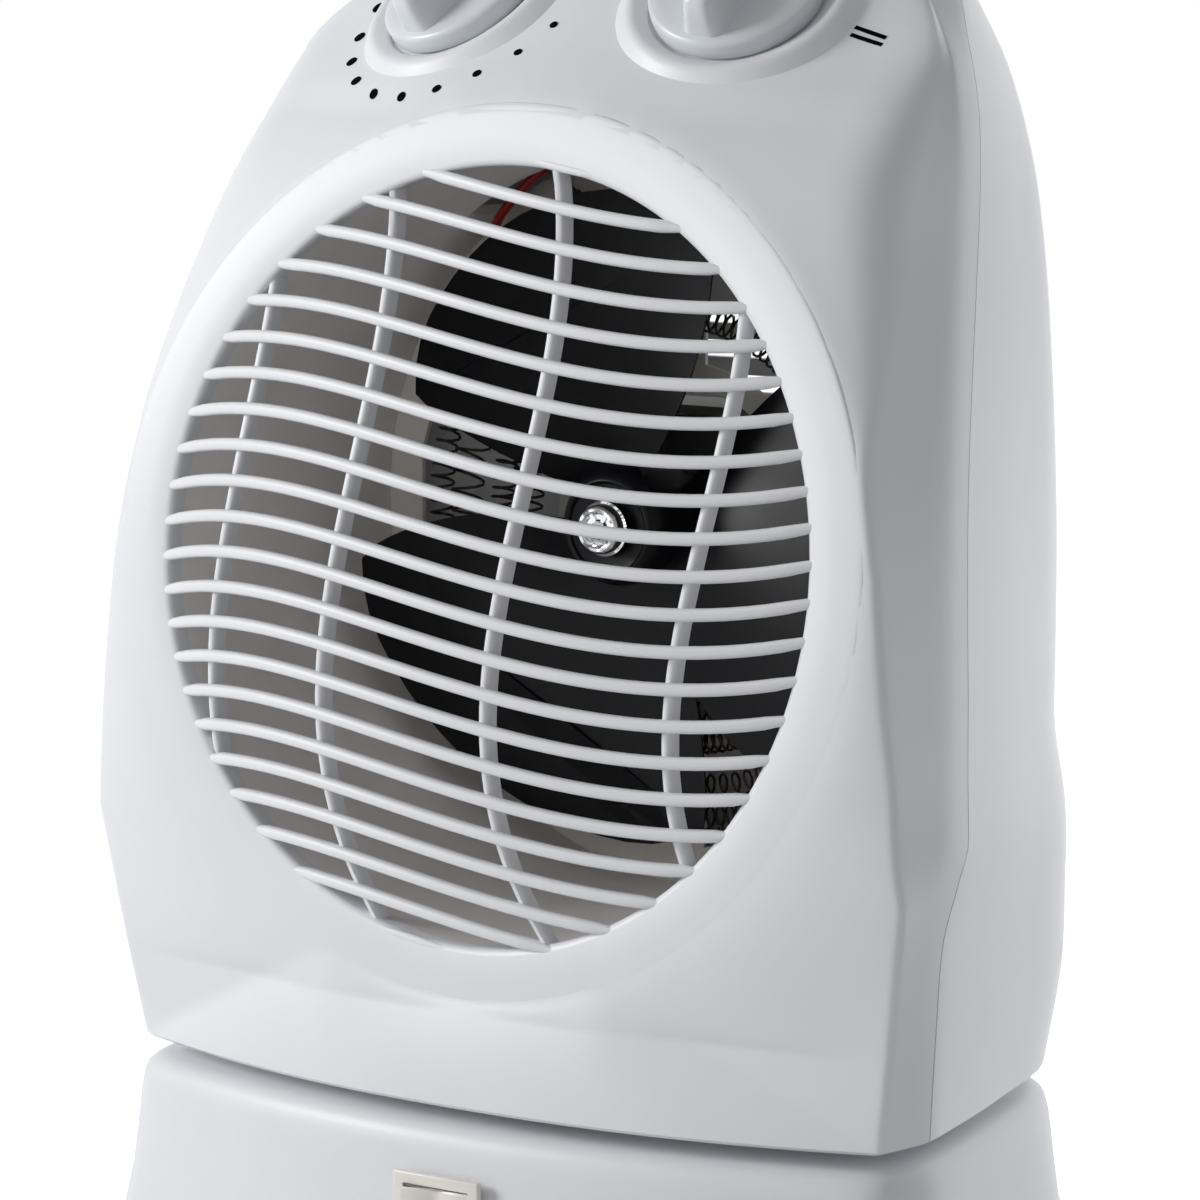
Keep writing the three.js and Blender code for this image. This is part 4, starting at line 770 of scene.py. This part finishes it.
def blade_ring(turn, out, chord_steps=18):
    radius = BLADE_ROOT + (BLADE_TIP - BLADE_ROOT) * out
    begin = LEAD - LEAD_TAPER * out ** 2
    end = -TRAIL + TRAIL_TAPER * out ** 1.5
    corner = max(out - TIP_FROM, 0) / (1 - TIP_FROM)

    def point(s, behind):
        near = min(s, 1 - s) * chord_steps
        pulled = radius - TIP_ROUND * corner * max(0.0, 1 - near / EDGE_STEPS) ** 2
        angle = turn + begin + (end - begin) * s
        cup = BLADE_CUP * math.sin(math.pi * s) * (1 - out)
        thick = BLADE_THICK * min(1.0, BLADE_EDGE + near / EDGE_STEPS)
        depth = BLADE_FRONT + BLADE_TWIST * (1 - s) + cup + (thick if behind else 0)
        return Vector((pulled * math.cos(angle), depth, pulled * math.sin(angle))) * MM

    steps = [j / chord_steps for j in range(chord_steps + 1)]
    return [point(s, False) for s in steps] + [point(s, True) for s in reversed(steps)]


BLADE_STEPS = 16
bm = bmesh.new()
turned(bm, HUB, 64, (0, 1, 0), closed=True)
for turn in BLADE_TURNS:
    loft(bm, [blade_ring(turn, i / BLADE_STEPS) for i in range(BLADE_STEPS + 1)])
blades = object_from(bm, "fan_wheel")
blades.data.transform(fan_place)
finish_piece(blades, fan_black, "fan", ["fan"], sharp=40)

# %% [markdown]
# The spring clip that holds the fan on its shaft is a small bright cup. Its rim catches the light in
# the middle of the grille, so it gets a proper turned profile and six gripping tongues.

# %% Fan clip
CLIP = ((SHAFT_HOLE, 47.6), (3.4, 47.6), (3.8, 47.2), (4.2, 46.3), (4.8, 46.2), (5.3, 46.6), (5.5, 47.4),
        (5.7, 49.0), (6.2, 49.3), (6.2, 49.7), (SHAFT_HOLE, 49.7))
TONGUES, TONGUE_SIZE, TONGUE_CENTRE = 6, (2.2, 0.5, 0.9), (3.0, 47.3, 0)
bm = bmesh.new()
turned(bm, CLIP, 48, (0, 1, 0), closed=True)
for i in range(TONGUES):
    angle = math.tau * i / TONGUES
    tongue = block(bm, TONGUE_SIZE, TONGUE_CENTRE)
    bmesh.ops.rotate(bm, cent=(0, 0, 0), matrix=Matrix.Rotation(angle, 3, "Y"), verts=tongue)
clip = object_from(bm, "shaft_clip")
clip.data.transform(fan_place)
finish_piece(clip, chrome, "fan", ["fan_clip"])

# %% [markdown]
# The heating coils are close springs of thin wire. Each is wound nearly twice round the element, in a
# slowly widening spiral. A formula gives the points: a small turn round the wire's own row while the row
# goes round the element. Wires are curves with a round bevel, made into meshes.

# %% Heating coils
COIL_DEPTH, CURL_RADIUS, LOOSE_RADIUS, WIRE_RADIUS, CURLS, POINTS_PER_CURL = 80.0, 2.7, 6.0, 0.34, 230, 10
COIL_SWEEP, COIL_START, LOOSE_POWER, LOOSE_SHARE = math.radians(640), math.radians(120), 1.3, 0.16
COIL_SPANS = {"coil_inner": (41.0, 53.0), "coil_outer": (58.0, 71.0)}


def wire_through(points, radius, name, resolution=1):
    """A round wire along a line of points: a bevelled curve, made into a mesh."""
    curve = bpy.data.curves.new(name, "CURVE")
    curve.dimensions = "3D"
    curve.bevel_depth, curve.bevel_resolution, curve.use_fill_caps = radius * MM, resolution, True
    line = curve.splines.new("POLY")
    line.points.add(len(points) - 1)
    for knot, point in zip(line.points, points):
        knot.co = (*point, 1)
    drawn = bpy.data.objects.new(name, curve)
    bpy.context.scene.collection.objects.link(drawn)
    bpy.context.view_layer.update()
    bm = bmesh.new()
    bm.from_mesh(bpy.data.meshes.new_from_object(drawn.evaluated_get(bpy.context.evaluated_depsgraph_get())))
    bpy.data.objects.remove(drawn)
    return object_from(bm, name)


def coil_points(begin, end):
    """Close curls that open out into loose loops where the coil starts, at the upper left."""
    made = []
    for i in range(CURLS * POINTS_PER_CURL + 1):
        curl = math.tau * i / POINTS_PER_CURL
        t = (i / (CURLS * POINTS_PER_CURL)) ** (1 / LOOSE_POWER)
        angle, loose = COIL_START + COIL_SWEEP * t, max(0.0, 1 - t / LOOSE_SHARE)
        swing = CURL_RADIUS + (LOOSE_RADIUS - CURL_RADIUS) * loose
        radius = begin + (end - begin) * t + swing * math.cos(curl)
        depth = COIL_DEPTH + CURL_RADIUS * math.sin(curl)
        made.append(at_ring(radius * math.cos(angle), depth, radius * math.sin(angle)))
    return made


for node, span in COIL_SPANS.items():
    spiral = wire_through(coil_points(*span), WIRE_RADIUS, node.replace("coil", "spiral"))
    finish_piece(spiral, hot_wire, "head", [node], sharp=70)

# %% Wires from the switches
WIRE_END = DUCT_BACK - 0.3
ROUTE_STEPS, LEAD_RADIUS = 60, 1.1
ROUTES = {
    "wire_red": ((32.3, 63.4, 101.2), (27, 70, 97), (10, 75, 94), (-14, 77, 88.5), (-32, 74, 80),
                 (-46, 75, 68), (-50, 79, 61), (-50, WIRE_END, 60)),
    "wire_black": ((-32.3, 63.4, 101.2), (-33, 70, 93), (-31, 76, 85), (-30, 79, 76), (-30, 81.5, 73.6),
                   (-30, WIRE_END, 73.2)),
    "wire_white": ((-27.5, 64.4, 102), (-16, 71, 99), (2, 73, 93), (14, 76, 85), (20, 79, 77.5),
                   (20, WIRE_END, 75.4)),
}
for node, route in ROUTES.items():
    spots = [Vector(spot) for spot in route]
    points = [at_ring(*through(spots, i / ROUTE_STEPS)) for i in range(ROUTE_STEPS + 1)]
    lead = wire_through(points, LEAD_RADIUS, node.replace("wire", "lead"), 3)
    slot = node.replace("wire_", "") + "_sleeve"
    finish_piece(lead, wire_finishes[node], "head", [node], sharp=60)

# %% [markdown]
# ## Knobs
# Each knob is a low round disc with a tall finger grip across it. The grip narrows towards the top and
# has flanks that widen down into the disc. The right one stands turned a little to the right.

# %% Knobs
KNOB_PROFILE = ((0, -8), (4, -8), (4, 0.6), (18.6, 0.6), (19.2, 0.9), (19.4, 1.6), (19.4, 4.2), (19.2, 4.9),
                (18.5, 5.4), (16.5, 5.6), (0, 5.6))
GRIP_LEVELS = ((5.8, 17.6, 4.6), (5.2, 17.4, 6.4), (4.6, 17.2, 9.0), (4.2, 16.8, 12.0), (3.8, 16.2, 13.6),
               (2.9, 15.2, 14.4))
GRIP_STEPS, SELECTOR_TURN = 40, math.radians(-11)


def grip_ring(half_width, half_length, level):
    points = []
    for i in range(GRIP_STEPS):
        angle = math.tau * i / GRIP_STEPS
        x, y = math.cos(angle), math.sin(angle)
        shape = (abs(x) ** 5 + abs(y) ** 5) ** (-1 / 5)
        points.append(Vector((x * shape * half_width, y * shape * half_length, level)) * MM)
    return points


def make_knob(name, side, body, node, turn=0.0):
    bm = bmesh.new()
    turned(bm, KNOB_PROFILE, 96)
    loft(bm, [grip_ring(*level) for level in GRIP_LEVELS])
    knob = object_from(bm, name)
    knob.data.transform(knob_place(side) @ Matrix.Rotation(turn, 4, "Z"))
    return finish_piece(knob, knob_white, body, [node], sharp=40)


make_knob("thermostat_dial", -1, "thermostat", "thermostat_knob")
make_knob("selector_dial", 1, "selector", "selector_knob", SELECTOR_TURN)

# %% [markdown]
# The panel is printed with a row of dots that shrink round the left knob, and two bars beside the right
# one. They are thin discs that lie a hair above the shell, so each is dropped onto it along the knob's axis.

# %% Printed marks
DOT_RING, DOT_START, DOT_STEP, DOT_COUNT = 31.3, 183.4, 18.46, 10
DOT_SHIFT, DOT_SIZE, DOT_SHRINK = Vector((1.9, -1.3, 0)), 3.0, 0.12
MARK_THICK = 0.4
TWO_PLACE, TWO_APART, TWO_LONG, TWO_WIDE, TWO_TURN = (67.7, 48.4, 112.6), 1.15, 8.0, 1.0, -0.4
SQUARE = math.sqrt(2)


def dropped(point, direction):
    """The place where a line meets the front housing."""
    hit, spot, normal, _ = front_housing.ray_cast(point, -direction)
    return (spot, normal) if hit else (point, direction)


def mark_at(bm, target, width, length, turn, direction, sides):
    spot, normal = dropped(target + direction * 0.02, direction)
    facing = normal.to_track_quat("Z", "Y").to_matrix().to_4x4()
    disc = bmesh.ops.create_cone(bm, cap_ends=True, segments=sides, radius1=1, radius2=1,
                                 depth=MARK_THICK * MM)
    made = disc["verts"]
    bmesh.ops.rotate(bm, cent=(0, 0, 0), matrix=Matrix.Rotation(math.pi / sides, 3, "Z"), verts=made)
    bmesh.ops.scale(bm, vec=(width / 2 * MM, length / 2 * MM, 1), verts=made)
    bmesh.ops.rotate(bm, cent=(0, 0, 0), matrix=Matrix.Rotation(turn, 3, "Z"), verts=made)
    bmesh.ops.transform(bm, matrix=Matrix.Translation(spot) @ facing, verts=made)


bm = bmesh.new()
left_place, right_place = knob_place(-1), knob_place(1)
for i in range(DOT_COUNT):
    angle = math.radians(DOT_START + DOT_STEP * i)
    target = left_place @ ((Vector((math.cos(angle), math.sin(angle), 0)) * DOT_RING + DOT_SHIFT) * MM)
    size = DOT_SIZE - DOT_SHRINK * i
    mark_at(bm, target, size, size, 0, left_place.to_3x3().col[2], 24)
for offset in (-TWO_APART, TWO_APART):
    target = at_ring(*TWO_PLACE) + Vector((0, 0.7, 0.7)) * offset * MM
    facing = right_place.to_3x3().col[2]
    mark_at(bm, target, TWO_LONG * SQUARE, TWO_WIDE * SQUARE, TWO_TURN, facing, 4)
finish_piece(object_from(bm, "panel_marks"), mark_black, "head", sharp=30)

# %% [markdown]
# ## Base
# The base has the plan of the head's underside and flares out to the floor. Its top edge is rounded, and
# a dark gap a few millimetres high is left under the head so that it can swing.

# %% Base housing
low = section_at(0.0)
BASE_STEPS = ((BASE_RIM, BASE_FLARE), (BASE_RIM + 0.8, BASE_FLARE), (20, 5.5), (32, 3.4), (40, 2.6),
              (48, 1.9), (52, 1.5), (54.4, 1.0), (56.0, 0.3), (57.1, -0.7), (57.7, -1.8), (BASE_HEIGHT, -3.1))
BASE_FRONT_STEPS, BASE_SIDE_STEPS, BASE_REAR_STEPS = 20, 6, 20


def base_outline(z, grow):
    corner = Vector((low["corner_x"] + grow, low["corner_y"] - grow))
    seam = Vector((low["seam_x"] + grow, low["seam_y"]))
    rear = Vector((low["rear_x"] + grow, low["rear_y"] + grow))
    front, rear_end = low["front"] - grow, low["back"] + grow
    across = [i / BASE_FRONT_STEPS for i in range(BASE_FRONT_STEPS)]
    half = [Vector((corner.x * t, front + (corner.y - front) * t ** CHIN_POWER)) for t in across]
    half += [corner.lerp(seam, i / BASE_SIDE_STEPS) for i in range(BASE_SIDE_STEPS)]
    half += rear_curve(seam, rear, rear_end, BASE_REAR_STEPS)
    loop = smoothed(smoothed(whole_loop(half), 0.25), 0.25)
    return [Vector((*point, z)) * MM for point in loop]


bm = bmesh.new()
loft(bm, [base_outline(z, grow) for z, grow in BASE_STEPS])
base_housing = hollowed(object_from(bm, "base_housing"))
floor_cut = bmesh.new()
block(floor_cut, (300, 250, 8), (0, 0, 2.0))
shaped_by(base_housing, object_from(floor_cut, "floor_cut"), "DIFFERENCE")
cover_space = bmesh.new()
loft(cover_space, [base_outline(2.0, BASE_FLARE - 2.5), base_outline(8.0, BASE_FLARE - 3.3)])
shaped_by(base_housing, object_from(cover_space, "cover_space"), "DIFFERENCE")
NECK_RADIUS, NECK_FROM, NECK_TO = 21, 45, 65
neck_bore = ((0, NECK_FROM), (NECK_RADIUS, NECK_FROM), (NECK_RADIUS, NECK_TO), (0, NECK_TO))
shaped_by(base_housing, lathe_cutter(neck_bore, 96, Matrix.Identity(4)), "DIFFERENCE")
SWITCH_Z, SWITCH_HOLE = 40.1, (19.6, 44, 13.2)
bm = bmesh.new()
block(bm, SWITCH_HOLE, (0, HEAD_FRONT, SWITCH_Z))
shaped_by(base_housing, object_from(bm, "switch_hole"), "DIFFERENCE")
GLAND_HEIGHT, GLAND_RADIUS = 20, 5.3
gland_place = Matrix.Translation(Vector((0, 0, GLAND_HEIGHT)) * MM)
gland_bore = ((0, 40), (GLAND_RADIUS, 40), (GLAND_RADIUS, 90), (0, 90))
shaped_by(base_housing, lathe_cutter(gland_bore, 48, gland_place, (0, 1, 0)), "DIFFERENCE")
finish_piece(base_housing, base_white, "base", ["base_shell"], sharp=42)

# %% [markdown]
# ## Swing switch
# The switch on the front of the base has an off-white frame with a deep pocket. Its button rocks left
# and right about an upright pin: two soft lobes meet at a crest, and here the left one stands out.

# %% Switch frame and button
frame_low, frame_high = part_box("rocker_bezel")
plate_front = frame_low.y / MM
PLATE, BODY_SIZE, POCKET = (22.6, 1.6, 16.0), (18.8, 12.4), (17.4, 12.0, 11.0)
plate_middle = plate_front + PLATE[1] / 2
rocker_frame = rounded_block("switch_frame", PLATE, (0, plate_middle, SWITCH_Z), 0.45, 3)
body_length = (frame_high.y - frame_low.y) / MM - PLATE[1] / 2
body_centre = (0, plate_middle + body_length / 2, SWITCH_Z)
switch_body = rounded_block("body", (BODY_SIZE[0], body_length, BODY_SIZE[1]), body_centre, 0.4)
shaped_by(rocker_frame, switch_body, "UNION")
shaped_by(rocker_frame, rounded_block("pocket", POCKET, (0, plate_front, SWITCH_Z), 0.3), "DIFFERENCE")
finish_piece(rocker_frame, switch_cream, "base", ["rocker_bezel"])

pin = Vector((0, plate_front + PLATE[1], SWITCH_Z))
BUTTON_HALF, BUTTON_HEIGHT, BUTTON_TILT, BUTTON_STEPS = 8.2, 10.2, math.radians(8.0), 12
CREST, LOBE, LOBE_ROUND, KEEL = 1.2, 1.3, 1.9, 2.6


def button_ring(level, inset):
    """The button's outline seen from above: two lobes in front and a keel behind."""
    front = []
    for i in range(BUTTON_STEPS + 1):
        x = -BUTTON_HALF + 2 * BUTTON_HALF * i / BUTTON_STEPS
        depth = -CREST - LOBE * math.sin(abs(x) / BUTTON_HALF * LOBE_ROUND) + inset * 0.35
        front.append(Vector((x * (1 - inset * 0.03), depth, level)))
    back = [Vector((BUTTON_HALF, 0, level)), Vector((0, KEEL, level)), Vector((-BUTTON_HALF, 0, level))]
    return [point * MM for point in front + back]


bm = bmesh.new()
half = BUTTON_HEIGHT / 2
ROUND = 0.7
loft(bm, [button_ring(-half, 1), button_ring(-half + ROUND / 2, 0.2), button_ring(-half + ROUND, 0),
          button_ring(half - ROUND, 0), button_ring(half - ROUND / 2, 0.2), button_ring(half, 1)])
button = object_from(bm, "switch_button")
button.data.transform(Matrix.Translation(pin * MM) @ Matrix.Rotation(BUTTON_TILT, 4, "Z"))
finish_piece(button, switch_cream, "rocker", ["rocker_button"], sharp=50)

# %% [markdown]
# ## Pieces that keep their CAD shape
# What is hidden, small or simply turned is already right in the frame. It only gets its finish.

# %% Dress the other nodes
KEPT = {
    neck_grey: ("swivel_neck", "swivel_bush", "tip_plunger"),
    base_white: ("base_plate",),
    steel: ("retainer_ring", "yoke_arm", "oscillation_motor", "thermal_cutout", "motor_shaft",
            "bracket_front", "bracket_rear", "shell_screw_1", "shell_screw_2", "shell_screw_3", "shell_screw_4",
            "base_screw_1", "base_screw_2", "base_screw_3", "base_screw_4"),
    lamination: ("motor_stator", "motor_rotor"),
    winding_tape: ("stator_winding",),
    brass: ("crank_disc",),
    # The mica plate's finish carries painted light.
    mica_painted_light: ("mica_plate",),
    switch_black: ("thermostat_body", "selector_body", "tip_switch", "cord_gland"),
    rubber_black: ("foot_1", "foot_2", "foot_3", "foot_4"),
}
for material, names in KEPT.items():
    for name in names:
        nodes[name].data.materials.clear()
        nodes[name].data.materials.append(material)
print("kept nodes:", sum(len(names) for names in KEPT.values()))

# %% [markdown]
# ## Studio
# The heater stands on a plain pale floor in a white room. The world is white to the camera and to
# reflections, and four times dimmer as light, so that the white plastic keeps its tone.


# %% White room
def seen_directly(tree):
    """1 for what the camera sees, straight or through glass or in a mirror, and 0 for plain light."""
    path = tree.nodes.new("ShaderNodeLightPath")
    value = path.outputs["Is Camera Ray"]
    for ray in ("Is Glossy Ray", "Is Transmission Ray"):
        either = tree.nodes.new("ShaderNodeMath")
        either.operation = "MAXIMUM"
        tree.links.new(value, either.inputs[0])
        tree.links.new(path.outputs[ray], either.inputs[1])
        value = either.outputs[0]
    return value


WORLD_LIGHT = 0.25
world = bpy.data.worlds.new("white_room")
bpy.context.scene.world = world
world.use_nodes = True
tree = world.node_tree
tree.nodes.clear()
plain, lit = (tree.nodes.new("ShaderNodeBackground") for _ in range(2))
plain.inputs["Strength"].default_value = 1.0
lit.inputs["Strength"].default_value = WORLD_LIGHT
for shader in (plain, lit):
    shader.inputs["Color"].default_value = (1, 1, 1, 1)
mix = tree.nodes.new("ShaderNodeMixShader")
out = tree.nodes.new("ShaderNodeOutputWorld")
tree.links.new(seen_directly(tree), mix.inputs["Fac"])
tree.links.new(lit.outputs[0], mix.inputs[1])
tree.links.new(plain.outputs[0], mix.inputs[2])
tree.links.new(mix.outputs[0], out.inputs["Surface"])

# %% Floor
FLOOR_GLOW, FLOOR_TONE = 0.8, 0.62
floor_material = bpy.data.materials.new("floor_white")
floor_material.use_nodes = True
tree = floor_material.node_tree
shader = tree.nodes["Principled BSDF"]
shader.inputs["Base Color"].default_value = (FLOOR_TONE, FLOOR_TONE, FLOOR_TONE, 1)
shader.inputs["Roughness"].default_value = 0.9
glow, added = tree.nodes.new("ShaderNodeEmission"), tree.nodes.new("ShaderNodeAddShader")
strength = tree.nodes.new("ShaderNodeMath")
strength.operation = "MULTIPLY"
strength.inputs[1].default_value = FLOOR_GLOW
tree.links.new(seen_directly(tree), strength.inputs[0])
tree.links.new(strength.outputs[0], glow.inputs["Strength"])
tree.links.new(shader.outputs[0], added.inputs[0])
tree.links.new(glow.outputs[0], added.inputs[1])
tree.links.new(added.outputs[0], tree.nodes["Material Output"].inputs["Surface"])
bm = bmesh.new()
bmesh.ops.create_grid(bm, x_segments=8, y_segments=8, size=3)
floor = object_from(bm, "floor")
floor.data.materials.append(floor_material)


# %% Lights
def soft_light(name, place, power, size, mirrored=True):
    lamp = bpy.data.lights.new(name, "AREA")
    lamp.energy, lamp.size = power, size
    light = bpy.data.objects.new(name, lamp)
    light.location = place
    light.rotation_euler = (at_ring(0, 40, 0) - Vector(place)).to_track_quat("-Z", "Y").to_euler()
    light.visible_glossy = mirrored
    bpy.context.scene.collection.objects.link(light)


soft_light("key_left", (-0.9, -0.85, 0.6), 11.0, 0.5)
soft_light("front_fill", (0.6, -1.5, 0.45), 1.6, 0.6)
soft_light("rim_back", (0.45, 1.9, 0.45), 27, 0.8, mirrored=False)
bpy.context.scene.view_settings.view_transform = "Standard"

# %% Update the scene
bpy.context.view_layer.update()
